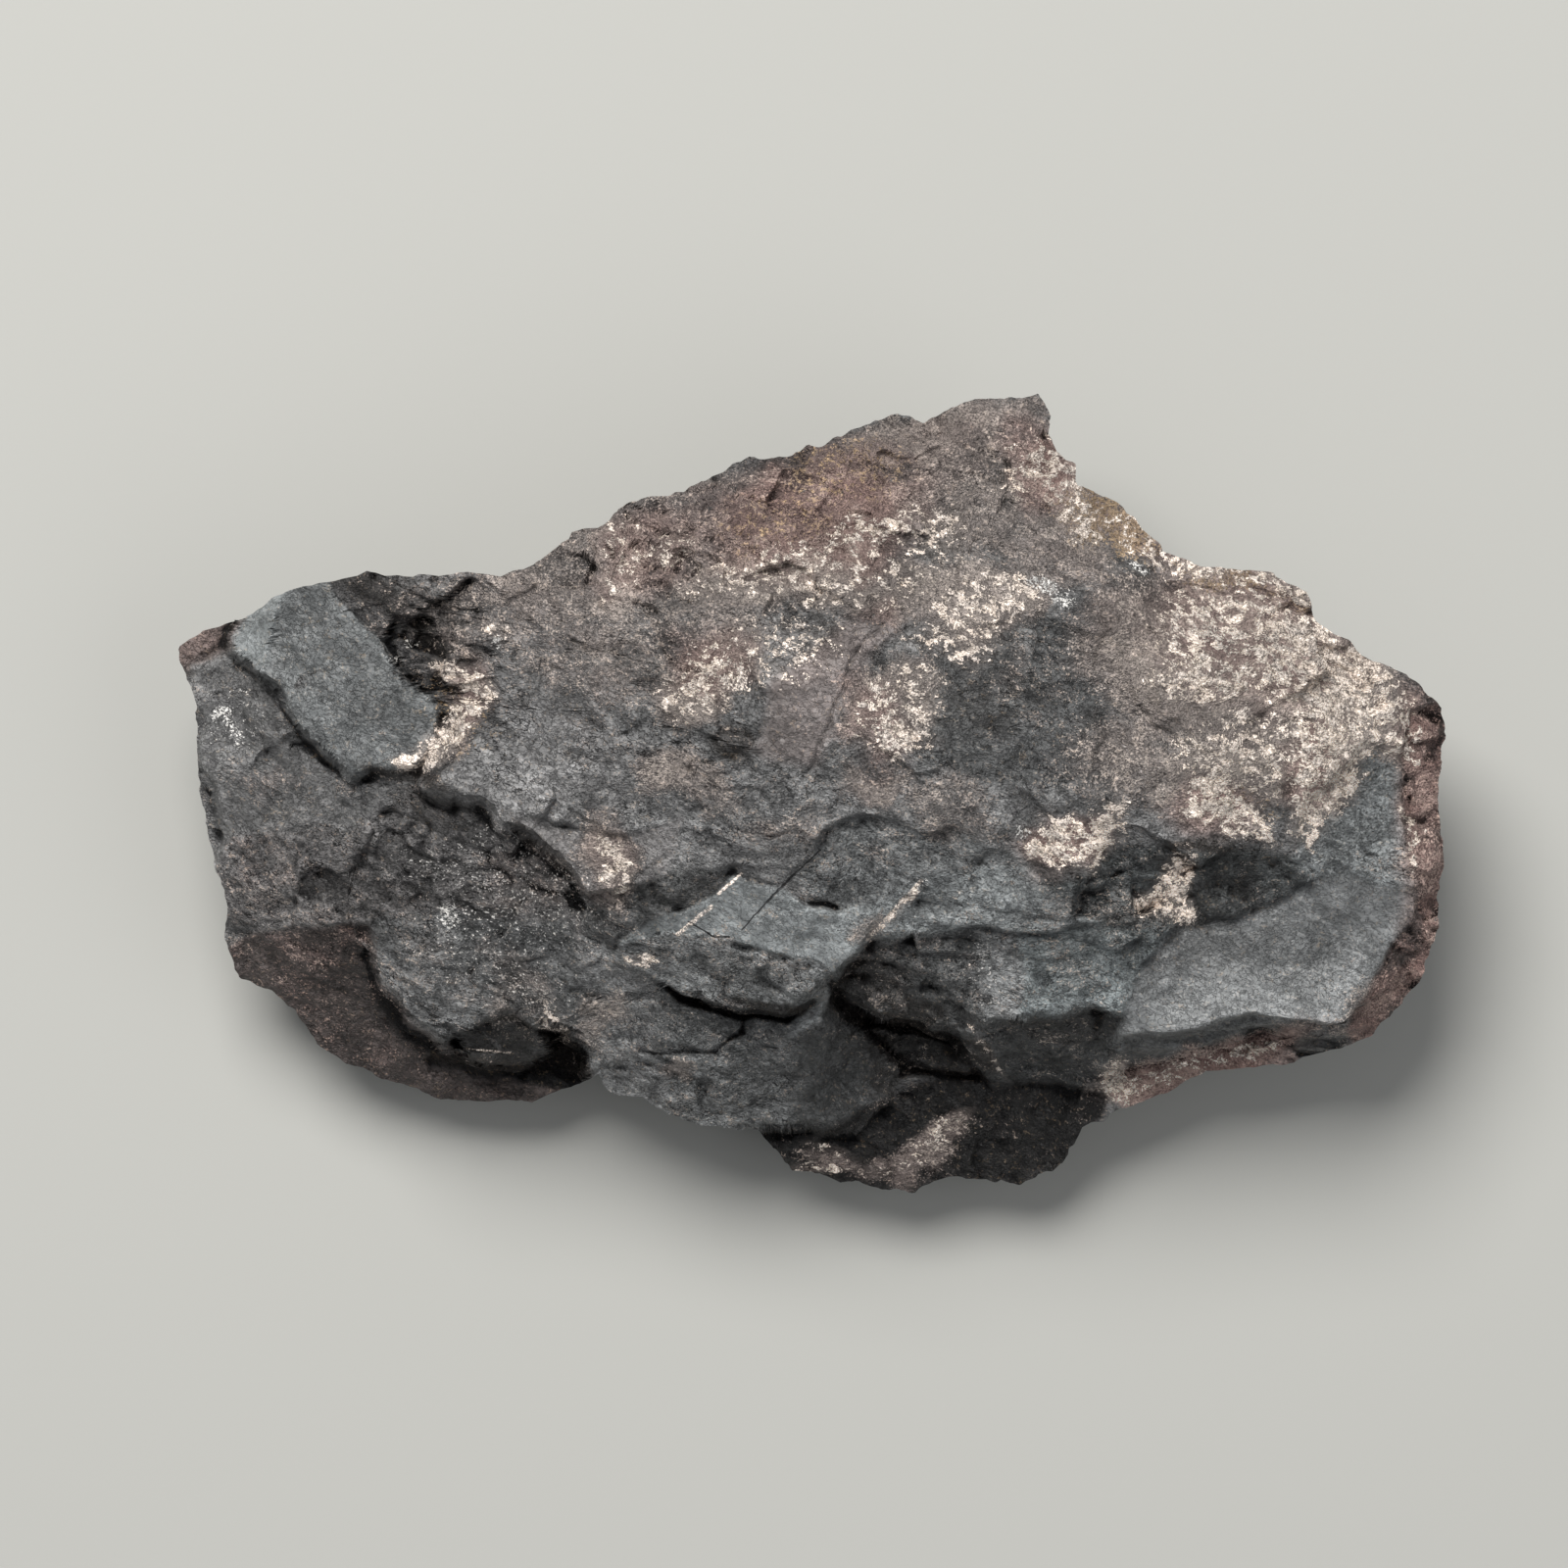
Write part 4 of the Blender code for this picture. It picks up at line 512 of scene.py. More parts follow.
# Upper side: survey plate, cleaved faces, bedding steps and chips. Gives the height before and
# after the smaller chips, the grain, and the faces' looks
def broadFace(x, y):
    wanderedX, wanderedY = wandered(x, y)
    ground = {"height": surveyHeight(wanderedX, wanderedY)}
    for part, value in zip(("grain", *faceChannels), (stoneForm["plainGrain"], *plainLook)):
        ground[part] = np.full(x.shape, value)
    for name in cleavedFaces:
        layFace(ground, wanderedX, wanderedY, name)
    height, grain, most = ground["height"], ground["grain"], stoneForm["mostGrain"]
    bed = bedNumber(x, y, height)
    present = eased(0.5 + named("bedPatches", x, y))
    steps = stoneForm["bedStrength"] * stoneForm["bedSpacing"] * (stairs(bed) - bed + 0.35)
    height += steps * np.minimum(grain, most["beds"]) * present
    grain *= 1.0 + spotted(x, y, crags)
    along, across = beddingPlace(x, y)
    for number, (_, rise, toneStep) in enumerate(stoneForm["chipHeights"]):
        if number == 1:
            ground["smooth"] = height.copy()
        chip, mark = beddingChips(along, across, number)
        ground["tone"] *= 1.0 + toneStep * mark
        size, octaves, seed = stoneForm["unevenNoise"]
        uneven = 0.35 + 1.3 * eased(0.5 + 0.8 * rubble(x, y, size, octaves, seed + number))
        height += rise * uneven * np.minimum(grain, most["chips"]) * chip
    height -= stoneForm["creviceDepth"] * np.minimum(grain, most["crevices"]) * crevices(along, across)
    lumps = 0.6 + 0.4 * named("crustLumps", x, y)
    height += stoneForm["crustRise"] * lumps * eased(2.0 * spotted(x, y, spots["crust"]) - 0.9)
    for halfWidth, depth, points in cracks:
        height -= depth * eased(1.0 - lineGap(wanderedX, wanderedY, points) / halfWidth)
    return ground


# A map softened by a round Gaussian: each of its waves is weakened by e^(-2 (pi * radius * frequency)^2)
def softened(values, radius):
    across = np.fft.rfftfreq(values.shape[1], stoneForm["mapStep"])
    along = np.fft.fftfreq(values.shape[0], stoneForm["mapStep"])[:, None]
    weaker = np.exp(-2.0 * (math.pi * radius) ** 2 * (across ** 2 + along ** 2))
    return np.fft.irfft2(np.fft.rfft2(values) * weaker, s=values.shape)


# The broad face on an even grid, softened to what the mesh can hold. Its hollows are the sum over
# three radii of (height averaged around a place - height) / radius
def faceMaps():
    step, edge = stoneForm["mapStep"], stoneForm["mapEdge"]
    gridX = np.arange(outlineLow[0] - edge, outlineHigh[0] + edge, step)
    gridY = np.arange(outlineLow[1] - edge, outlineHigh[1] + edge, step)
    x, y = np.meshgrid(gridX, gridY)
    ground = broadFace(x.ravel(), y.ravel())
    maps = {name: softened(values.reshape(x.shape), stoneForm["mapSoftness"])
            for name, values in ground.items()}
    # the hollow map later paints shade into hollows and a highlight onto ridges
    maps["hollow"] = sum(
        np.clip((softened(maps["height"], radius) - maps["height"]) / radius, -0.6, 1.5)
        for radius in stoneForm["hollowRadii"])
    return maps


# One map read between its grid points
def mapped(name, x, y):
    values, step = broadMaps[name], stoneForm["mapStep"]
    column = (x - outlineLow[0] + stoneForm["mapEdge"]) / step
    row = (y - outlineLow[1] + stoneForm["mapEdge"]) / step
    left = np.clip(np.floor(column).astype(int), 0, values.shape[1] - 2)
    low = np.clip(np.floor(row).astype(int), 0, values.shape[0] - 2)
    toRight, up = column - left, row - low
    lower = values[low, left] * (1 - toRight) + values[low, left + 1] * toRight
    upper = values[low + 1, left] * (1 - toRight) + values[low + 1, left + 1] * toRight
    return lower * (1 - up) + upper * up


# Lower side: the highest of the level base and the rising faces, broken up where it has left the base
def undersideHeight(x, y):
    height = np.full(x.shape, -stoneForm["baseDepth"])
    for direction, start, rise in undersideFaces:
        turn = math.radians(direction)
        out = x * math.cos(turn) + y * math.sin(turn)
        height = np.maximum(height, rise * (out - start))
    broken = eased((height + stoneForm["baseDepth"]) / stoneForm["baseDepth"])
    bed = (height + 0.5 * named("undersideBeds", x, y)) / stoneForm["bedSpacing"]
    chipped = chipHeight("underside", x, y) + 0.4 * chipHeight("undersideSmall", x, y)
    rough = 0.4 * (stairs(bed) - bed) + chipped
    return height + stoneForm["undersideGrain"] * broken * rough


# Distance to the outline in each direction: the ray meets each edge where two line equations agree
def outlineReach(angle):
    aheadX, aheadY = np.cos(angle), np.sin(angle)
    reach = np.zeros(angle.shape)
    for (ax, ay), (bx, by) in zip(outlinePoints, outlinePoints[1:] + outlinePoints[:1]):
        runX, runY = bx - ax, by - ay
        slant = aheadX * runY - aheadY * runX
        slant = np.where(np.abs(slant) < 1e-9, 1e-9, slant)
        share = (ax * aheadY - ay * aheadX) / slant
        distance = (ax * runY - ay * runX) / slant
        hit = (share >= -1e-9) & (share <= 1 + 1e-9) & (distance > 0)
        reach = np.where(hit, np.maximum(reach, distance), reach)
    ragged = named("rim", reach * aheadX, reach * aheadY) - 0.75
    return reach + stoneForm["rimWander"] * ragged


# Square to disk: the larger of |u| and |v| is the ring, the smaller over it is the turn along it
def diskPlace(u, v):
    flat = np.abs(u) > np.abs(v)
    ring = np.where(flat, u, v)
    safe = np.where(ring == 0, 1.0, ring)
    turn = np.where(flat, math.pi / 4 * v / safe, math.pi / 2 - math.pi / 4 * u / safe)
    return np.abs(ring), turn + np.where(ring < 0, math.pi, 0.0)


# Place of two parameters inside the outline: ring times the outline's reach in its direction
def sheetPlace(u, v, undercut=0.0):
    ring, angle = diskPlace(u, v)
    reach = outlineReach(angle) - undercut
    return ring * reach * np.cos(angle), ring * reach * np.sin(angle)


# Upper sheet as a function of the two parameters: the broad face's height at their place
def upperSheet(u, v):
    x, y = sheetPlace(u, v)
    return np.stack([x, y, mapped("height", x, y)], axis=-1)


# Lower sheet on the same parameters: drawn in by the undercut, held under the upper side, cut level
def lowerSheet(u, v):
    x, y = sheetPlace(u, v, stoneForm["undercut"])
    roof = mapped("height", x, y) - stoneForm["edgeThickness"]
    z = np.minimum(undersideHeight(x, y), roof)
    return np.stack([x, y, np.maximum(z, 0.0)], axis=-1)


# Crowds grid lines where the ground is steep: equal steps of a mix of the parameter's own share
# and the share of the way walked over the surface
def respaced(parameter, places):
    lengths = np.linalg.norm(np.diff(places, axis=0), axis=-1)
    walked = np.vstack([np.zeros(lengths.shape[1]), np.cumsum(lengths, axis=0)])
    walked /= walked[-1]
    even = (parameter + 1.0) / 2.0
    share = stoneForm["steepShare"]
    mixed = share * walked + (1.0 - share) * even
    wanted = np.linspace(0.0, 1.0, len(parameter))
    return np.stack([np.interp(wanted, m, p) for m, p in zip(mixed.T, parameter.T)], axis=1)


# Normal of a grid: cross product of its two differences, smoothed by neighbour averages
def gridNormals(places):
    normals = np.cross(np.gradient(places, axis=1), np.gradient(places, axis=0))
    normals /= np.linalg.norm(normals, axis=-1, keepdims=True) + 1e-12
    for _ in range(4):
        padded = np.pad(normals, ((1, 1), (1, 1), (0, 0)), mode="edge")
        normals = (padded[:-2, 1:-1] + padded[2:, 1:-1] + padded[1:-1, :-2] + padded[1:-1, 2:]) / 4
    return normals / (np.linalg.norm(normals, axis=-1, keepdims=True) + 1e-12)


# Breaks steep walls back layer by layer: depth times steepness times a noise that changes per layer
def layeredWalls(places):
    normals = gridNormals(places)
    x, y, z = places[..., 0], places[..., 1], places[..., 2]
    along, layer = x + 0.6 * y, stairs(2.6 * bedNumber(x, y, z), 0.4)
    shift = layerNoise("wallLayers", along, layer) + 0.6 * chipHeight("wall", along, 1.6 * z)
    steep = eased((0.86 - normals[..., 2]) / 0.4)
    inside = np.zeros(x.shape)
    inside[2:-2, 2:-2] = 1.0
    places[..., :2] += (stoneForm["wallLayers"] * steep * inside * shift)[..., None] * normals[..., :2]
    return places


# Grid numbers of the rim, anticlockwise from the lower left corner
def rimOrder(number):
    return np.concatenate([number[0, :-1], number[:-1, -1], number[-1, :0:-1], number[:0:-1, 0]])


# Side rows: straight from rim to rim, each bed drawn in towards the middle by its own noise
def sideRows(top, foot):
    reach = np.hypot(top[:, 0], top[:, 1])
    along = np.cumsum(np.hypot(*np.diff(top[:, :2], axis=0, prepend=top[-1:, :2]).T))
    rows = []
    for row in range(1, stoneForm["sideRows"]):
        place = top + row / stoneForm["sideRows"] * (foot - top)
        x, y, z = place.T
        bed = bedNumber(x, y, z)
        depth = 0.5 + 0.5 * layerNoise("sideBeds", along, stairs(bed))
        depth += 0.35 * chipHeight("side", along, 1.5 * z)
        depth += 0.16 * layerNoise("sideLayers", along, stairs(3.2 * bed, 0.4))
        depth += 0.12 * chipHeight("sideSmall", along, 1.6 * z)
        fade = stoneForm["sideFade"]
        away = eased((top[:, 2] - z) / fade) * eased((z - foot[:, 2]) / fade)
        place[:, :2] *= (1.0 - stoneForm["sideBreak"] * away * np.clip(depth, 0.0, 1.4) / reach)[:, None]
        rows.append(place)
    return rows


# Quads between neighbouring rows and columns of a block of point numbers
def blockQuads(number):
    return np.stack([number[:-1, :-1], number[:-1, 1:], number[1:, 1:], number[1:, :-1]], -1).reshape(-1, 4)


# Each quad as two triangles, cut along its shorter diagonal
def splitQuads(places, quads):
    first, second, third, fourth = places[quads].transpose(1, 0, 2)
    straight = np.linalg.norm(first - third, axis=1) < np.linalg.norm(second - fourth, axis=1)
    ways = np.where(straight[:, None], quads[:, [0, 1, 2, 0, 2, 3]], quads[:, [0, 1, 3, 1, 2, 3]])
    return ways.reshape(-1, 3)


# The whole surface as points and triangles: upper sheet, lower sheet turned over, and the side between
def stoneSurface():
    u, v = np.meshgrid(np.linspace(-1, 1, stoneForm["columns"]), np.linspace(-1, 1, stoneForm["rows"]))
    v = respaced(v, upperSheet(u, v))
    u = respaced(u.T, upperSheet(u, v).transpose(1, 0, 2)).T
    upper = layeredWalls(upperSheet(u, v))
    lower = lowerSheet(u, v)
    number = np.arange(u.size).reshape(u.shape)
    rim = rimOrder(number)
    upper, lower = upper.reshape(-1, 3), lower.reshape(-1, 3)
    lower[rim, 2] = np.minimum(lower[rim, 2], upper[rim, 2] - stoneForm["edgeThickness"])
    sides = sideRows(upper[rim], lower[rim])
    between = 2 * u.size + np.arange(len(sides) * len(rim)).reshape(-1, len(rim))
    belt = np.vstack([rim, between, u.size + rim])
    belt = np.hstack([belt, belt[:, :1]])
    quads = [blockQuads(number), u.size + blockQuads(number)[:, ::-1], blockQuads(belt[::-1])]
    places = np.concatenate([upper, lower] + sides)
    return places, splitQuads(places, np.concatenate(quads))


def addObject(name, data):
    made = bpy.data.objects.new(name, data)
    bpy.context.collection.objects.link(made)
    return made


# A mesh from arrays of points and triangles, put in by foreach_set
def meshFromArrays(name, points, faces):
    mesh = bpy.data.meshes.new(name)
    mesh.vertices.add(len(points))
    mesh.vertices.foreach_set("co", points.astype(np.float32).ravel())
    mesh.loops.add(faces.size)
    mesh.loops.foreach_set("vertex_index", faces.astype(np.int32).ravel())
    mesh.polygons.add(len(faces))
    mesh.polygons.foreach_set("loop_start", np.arange(0, faces.size, 3, dtype=np.int32))
    mesh.update(calc_edges=True)
    mesh.validate()
    return mesh


# The mesh with its flatter stretches drawn in fewer triangles
def thinned(mesh, triangles):
    holder = addObject("holder", mesh)
    thin = holder.modifiers.new("thin", "DECIMATE")
    thin.ratio = triangles / len(mesh.polygons)
    thin.use_collapse_triangulate = True
    bpy.context.view_layer.update()
    view = bpy.context.evaluated_depsgraph_get()
    result = bpy.data.meshes.new_from_object(holder.evaluated_get(view))
    bpy.data.objects.remove(holder, do_unlink=True)
    bpy.data.meshes.remove(mesh)
    return result


# Three numbers for each item of a mesh's collection, as an array
def vectors(collection, what):
    values = np.empty(len(collection) * 3, np.float32)
    collection.foreach_get(what, values)
    return values.reshape(-1, 3).astype(float)


# How the stone is coloured. Each cleaved face: tone (1 is lit slate), blue-green share, rust share. The low
# tones of the faces in caves, gaps and hollows hold painted shade as well as their own colour
faceChannels = ("tone", "teal", "rust")
plainLook, sideLook = (1.10, 0.15, 0.05), (0.88, 0.15, 0.15)  # outside the faces, and on the sides
fullLook = 1.6  # the tone, or the grain, that a colour channel holds as 1
faceLooks = {
    "tipFlake": (0.80, 0.0, 0.85), "leftShelf": (0.70, 0.25, 0.10), "flank": (0.84, 0.15, 0.15),
    # caveSlab, caveGap, flakeGap and caveShelf: their low tones are partly painted shade in the cave and in
    # the gap under the flake
    "lowerFacet": (0.30, 0.0, 0.70), "lowerSlab": (0.74, 0.15, 0.0), "caveSlab": (0.30, 0.1, 0.0),
    "caveGap": (0.10, 0.1, 0.1), "flakeGap": (0.12, 0.1, 0.0), "lightChip": (1.15, 0.3, 0.0),
    "caveShelf": (0.20, 0.1, 0.0),
    "plateauLeft": (1.12, 0.08, 0.06), "crumblyBand": (0.58, 0.0, 0.10), "leftPlate": (0.65, 0.38, 0.0),
    "plateBevel": (0.96, 0.50, 0.0), "wedge": (0.98, 0.05, 0.12), "greenSlope": (0.60, 0.45, 0.10),
    # darkHollow, tongue and cave: their low tones are partly painted shade under the overhangs
    "bulgeLeft": (1.04, 0.10, 0.0), "bulgeMiddle": (0.72, 0.25, 0.0), "darkHollow": (0.32, 0.20, 0.0),
    "tongue": (0.09, 0.10, 0.20), "cave": (0.05, 0.10, 0.0), "darkSlope": (0.42, 0.30, 0.0),
    "laminated": (0.62, 0.35, 0.05), "speckled": (1.15, 0.20, 0.0), "tealFacet": (0.90, 0.80, 0.0),
    "stepRight": (1.12, 0.30, 0.0), "middleShelf": (1.18, 0.45, 0.0), "underRight": (0.54, 0.60, 0.0),
    "tealRight": (1.34, 0.45, 0.0), "rightScoop": (0.98, 0.26, 0.0), "rightRim": (0.66, 0.0, 0.85),
    "lipWall": (0.45, 0.25, 0.0), "lightStrip": (2.20, 0.0, 0.80), "flakeBody": (1.12, 0.25, 0.0),
    "flakeTop": (0.92, 0.50, 0.0), "darkSlab": (0.57, 0.30, 0.05), "upperSlab": (0.74, 0.25, 0.10),
    "brownTriangle": (0.66, 0.0, 0.40),
}

# Dust, crust, stains and painted shadows. Each spot: middle, half length, half width, turn in degrees,
# strength
spots = {
    "patina": [
        (10.1, 12.0, 2.6, 1.1, -62, 1.0), (5.1, 14.4, 4.4, 0.9, 12, 0.95), (-7.4, 9.0, 1.1, 2.4, 0, 0.95),
        (-1.1, 8.7, 4.2, 1.2, 8, 1.0), (6.9, 7.6, 2.4, 1.1, 20, 1.0), (-4.5, 3.9, 1.7, 1.2, 0, 0.9),
        (23.1, 3.2, 1.0, 2.0, 0, 1.0), (16.9, 7.6, 2.8, 1.1, -10, 1.0), (-11.5, -7.8, 1.3, 1.5, 0, 0.5),
        (-8.0, -8.8, 0.8, 1.1, 0, 0.6), (-5.3, -10.7, 0.8, 0.5, 0, 0.7), (18.3, -9.6, 1.8, 0.5, 10, 0.9),
        (-8.0, 9.6, 7.0, 3.0, 24, 0.62), (-1.5, 10.6, 4.0, 2.2, 10, 0.72), (1.8, 11.4, 2.6, 1.6, 0, 0.85),
        (-3.3, 5.2, 1.6, 1.3, 15, 0.80), (-6.5, 6.2, 5.0, 2.4, 5, 0.55), (4.2, 8.0, 3.4, 1.1, 5, 0.80),
        (3.3, 3.6, 1.7, 1.7, 0, 0.85), (6.5, 12.0, 3.0, 2.6, -30, 0.62), (9.0, 10.2, 3.0, 1.8, -25, 0.65),
        (16.5, 5.4, 5.8, 3.0, -8, 1.0), (13.6, 1.6, 3.4, 2.2, 0, 0.66), (17.4, 1.6, 4.2, 1.8, 12, 0.80),
        (21.0, 3.6, 2.4, 2.2, -40, 0.94), (9.0, 4.6, 2.2, 1.0, 0, 0.35), (-7.7, -2.4, 1.3, 1.7, 15, 0.85),
        (-5.2, 1.0, 1.2, 0.9, 35, 0.75), (-13.4, 3.2, 0.9, 2.0, -20, 0.50), (1.6, 10.4, 1.6, 1.1, 0, 0.9),
        (-21.2, 0.3, 1.5, 0.9, 10, 0.40), (5.0, -13.9, 2.0, 0.8, 40, 0.72), (3.0, -14.6, 1.4, 0.4, 12, 0.60),
        (1.0, -14.4, 1.4, 0.4, -10, 0.66), (15.5, -10.5, 3.8, 0.8, 17, 1.0), (12.4, -11.3, 0.7, 0.8, 0, 0.85),
        (24.4, -1.5, 0.8, 6.0, 0, 0.58), (22.8, -7.6, 0.9, 3.0, -38, 0.66), (-0.5, -1.4, 2.2, 0.8, 5, 0.35),
        (-3.8, 0.2, 1.2, 0.9, 0, 0.6), (2.6, 0.6, 1.6, 0.7, 0, 0.7), (5.6, -0.4, 1.4, 1.4, 0, 0.5),
        (14.6, 3.4, 2.0, 1.0, 0, 0.8), (21.0, 2.0, 3.0, 1.2, 60, 0.9), (6.8, -7.0, 0.8, 1.9, 12, 0.22),
        (2.3, -5.2, 0.7, 0.6, 30, 0.55), (-11.0, -3.2, 2.2, 1.4, -20, 0.35),
    ],
    "crust": [
        (2.6, 10.4, 1.8, 0.6, 10, 0.62), (-5.3, 9.8, 0.8, 0.6, 0, 0.50), (8.2, 12.6, 0.7, 1.0, 0, 0.60),
        (13.8, 9.2, 1.2, 0.5, -20, 0.50), (21.0, 5.2, 1.6, 0.8, -35, 0.92), (19.3, 4.2, 1.0, 0.8, 0, 0.80),
        (16.2, 4.4, 1.4, 0.6, 0, 0.75), (21.0, 1.6, 1.4, 1.0, 50, 1.00), (20.4, 0.2, 1.0, 0.7, 70, 1.0),
        (20.8, 3.2, 1.4, 1.2, -40, 0.9), (19.6, -0.8, 0.5, 1.0, 0, 0.90), (17.6, -9.9, 1.0, 0.25, 10, 0.75),
        (-10.0, -9.0, 0.8, 0.5, -40, 0.45), (10.1, 12.2, 2.2, 0.8, -62, 0.45), (-7.4, 9.4, 0.7, 1.8, 0, 0.35),
        (-1.1, 8.7, 3.6, 0.9, 8, 0.42), (6.9, 7.6, 2.2, 0.9, 20, 0.62), (-4.5, 3.9, 1.4, 1.0, 0, 0.52),
        (3.6, 2.4, 1.4, 0.5, 0, 0.78), (16.2, 6.2, 2.6, 1.6, -30, 0.55), (22.6, 3.4, 1.2, 1.0, -40, 0.6),
        (16.9, 7.6, 2.4, 0.8, -10, 0.42), (20.0, 5.0, 2.8, 1.7, -36, 0.94), (21.2, 4.2, 1.8, 1.8, -40, 0.98),
        (17.4, 1.8, 3.0, 1.3, 8, 0.54), (2.0, 8.4, 3.0, 0.9, 4, 0.34), (-1.4, 5.4, 3.0, 1.4, 12, 0.30),
        (5.6, 6.2, 1.8, 0.9, -5, 0.44), (12.6, 10.6, 1.8, 1.0, -35, 0.28), (-3.6, 5.2, 1.3, 0.9, 12, 0.50),
        (3.6, 3.6, 1.4, 1.2, 0, 0.52), (9.3, -1.5, 0.9, 0.8, 20, 1.0), (10.0, -2.2, 1.2, 0.6, -25, 1.0),
        (11.2, -1.7, 0.9, 0.8, 35, 0.95), (12.0, -0.9, 0.7, 0.5, 50, 0.80), (8.5, -1.3, 0.3, 0.2, 0, 0.8),
        (15.9, 1.0, 0.8, 0.6, 70, 0.85), (15.6, -0.1, 1.2, 0.9, 80, 1.0), (16.8, -0.6, 1.3, 0.6, -35, 1.0),
        (16.6, -1.4, 0.5, 0.3, -20, 0.80), (20.4, 2.2, 1.1, 0.9, 40, 1.0), (19.7, 1.2, 0.9, 0.7, 60, 0.95),
        (20.9, 3.4, 1.2, 0.8, -10, 0.90), (19.4, -0.2, 1.5, 0.5, 80, 0.80), (22.0, 4.2, 1.8, 0.9, -40, 0.85),
        (23.2, 2.6, 0.7, 1.1, 0, 0.70), (14.4, -3.2, 0.9, 0.6, 50, 0.90), (13.6, -4.0, 1.0, 0.5, 10, 0.85),
        (14.8, -4.4, 0.5, 0.4, 10, 0.75), (-13.4, 4.6, 1.1, 0.4, -25, 0.85), (-13.4, 3.4, 0.7, 0.9, 0, 0.92),
        (-14.0, 2.6, 0.8, 0.5, 40, 0.92), (-14.9, 1.8, 0.8, 0.4, 40, 0.82),
        (-15.7, 1.4, 0.5, 0.25, -20, 0.78), (-7.7, -2.0, 0.35, 0.8, 10, 0.95),
        (-7.2, -2.9, 0.3, 0.8, 0, 0.95), (-7.9, -3.1, 0.4, 0.3, 0, 0.85), (-3.2, 4.7, 0.8, 0.7, 10, 0.60),
        (3.4, 2.6, 0.7, 0.9, 0, 0.72), (17.8, 1.7, 1.4, 0.7, 0, 0.55), (20.6, 4.8, 2.2, 0.9, -30, 0.72),
        (19.0, 6.2, 1.6, 0.8, -30, 0.60), (15.8, 5.0, 2.4, 0.9, 0, 0.62), (18.6, 8.3, 1.2, 0.4, -20, 0.85),
        (15.0, 9.2, 1.6, 0.4, -15, 0.75), (19.4, -1.6, 0.3, 0.8, 0, 0.85), (23.7, -1.6, 0.25, 1.2, 0, 0.70),
        (3.1, -4.9, 0.9, 0.14, 46, 0.66), (4.0, -3.9, 0.5, 0.18, 40, 0.66),
        (7.1, -10.0, 1.3, 0.10, -57, 0.45), (12.4, -11.3, 0.6, 0.7, 0, 0.95),
        (15.0, -10.6, 3.0, 0.4, 17, 0.36), (-6.5, -6.4, 0.6, 0.25, 0, 0.8), (5.0, -13.8, 1.3, 0.5, 32, 0.26),
        (3.6, -14.7, 1.4, 0.2, 12, 0.34), (1.2, -14.1, 1.2, 0.2, -18, 0.34), (0.4, -14.7, 1.3, 0.2, 0, 0.52),
        (5.4, -13.0, 1.2, 0.2, 30, 0.5), (9.0, 12.9, 0.9, 0.7, -60, 0.60), (5.0, 10.4, 1.5, 0.9, 0, 0.50),
        (-12.1, 6.4, 0.4, 0.3, 0, 0.60),
    ],
    "white": [
        (9.4, 8.2, 0.5, 0.28, -30, 1.0), (8.7, 8.5, 0.3, 0.22, 0, 0.9), (9.9, 7.7, 0.4, 0.2, -10, 0.9),
        (8.35, -1.3, 0.3, 0.18, 0, 1.0), (-16.2, 5.4, 0.2, 0.12, 0, 0.9), (-12.1, 5.9, 0.12, 0.35, 0, 0.9),
        (-14.0, -4.8, 0.45, 0.35, -40, 1.0), (-23.1, 3.2, 0.5, 0.25, 0, 0.62),
        (-22.6, 2.6, 0.3, 0.3, 0, 0.58), (12.9, 8.9, 0.6, 0.12, -35, 0.8), (4.4, -3.5, 0.3, 0.2, 40, 0.8),
        (-15.5, 6.0, 0.25, 0.15, 0, 0.6),
    ],
    # dark: dark stains, and thin spots in gaps, along cave lips and under ledges that are painted shadows
    "dark": [
        (-10.3, -1.9, 2.3, 0.42, -42, 0.75), (-9.2, 3.6, 1.7, 1.7, 0, 0.60), (11.9, 2.4, 2.2, 1.0, 0, 0.55),
        (15.7, -5.9, 2.5, 1.2, 20, 0.45), (10.2, -9.0, 2.4, 0.8, 0, 0.60), (3.2, -8.8, 2.6, 0.35, -20, 1.0),
        (1.8, -8.5, 1.4, 0.6, -40, 0.9), (6.8, -10.1, 1.0, 0.4, -60, 0.9), (-9.4, -10.4, 1.3, 0.5, -35, 1.0),
        (-1.6, -8.2, 2.2, 0.25, -6, 0.9), (-12.4, -10.7, 1.8, 0.35, -5, 0.8), (17.2, -2.6, 2.4, 0.8, 18, 0.5),
        (5.6, -10.9, 1.6, 0.25, -5, 0.8), (-14.9, 6.8, 2.9, 0.95, -38, 0.85),
        (-17.3, 8.2, 0.9, 0.6, -45, 0.80), (-15.0, 0.0, 2.2, 0.9, -22, 0.55),
        (15.4, -2.0, 1.7, 0.25, -5, 1.0), (-14.6, 0.7, 0.9, 0.35, -30, 0.95), (3.0, -10.4, 1.0, 1.6, 0, 0.70),
        (-16.2, 1.0, 1.6, 0.3, -15, 0.9), (5.6, 13.4, 2.4, 1.8, 10, 0.72), (-1.4, 12.4, 2.6, 1.2, 15, 0.55),
        (-8.6, 9.2, 0.8, 1.6, -10, 0.50), (-2.8, 1.9, 0.9, 0.6, -10, 0.85), (7.0, 4.8, 2.2, 2.4, 10, 0.55),
        (12.0, 8.2, 2.2, 1.4, -25, 0.70), (13.6, 3.4, 1.6, 1.2, 0, 0.40), (15.6, -4.1, 2.8, 1.2, 14, 0.60),
        (9.4, -4.4, 1.6, 0.8, 8, 0.50), (4.0, -9.6, 3.4, 1.6, -18, 0.55), (-12.4, -10.2, 3.0, 1.0, 0, 0.60),
        (-17.5, -3.8, 3.4, 1.2, -12, 0.45), (-16.0, -5.6, 2.0, 0.8, -8, 0.50),
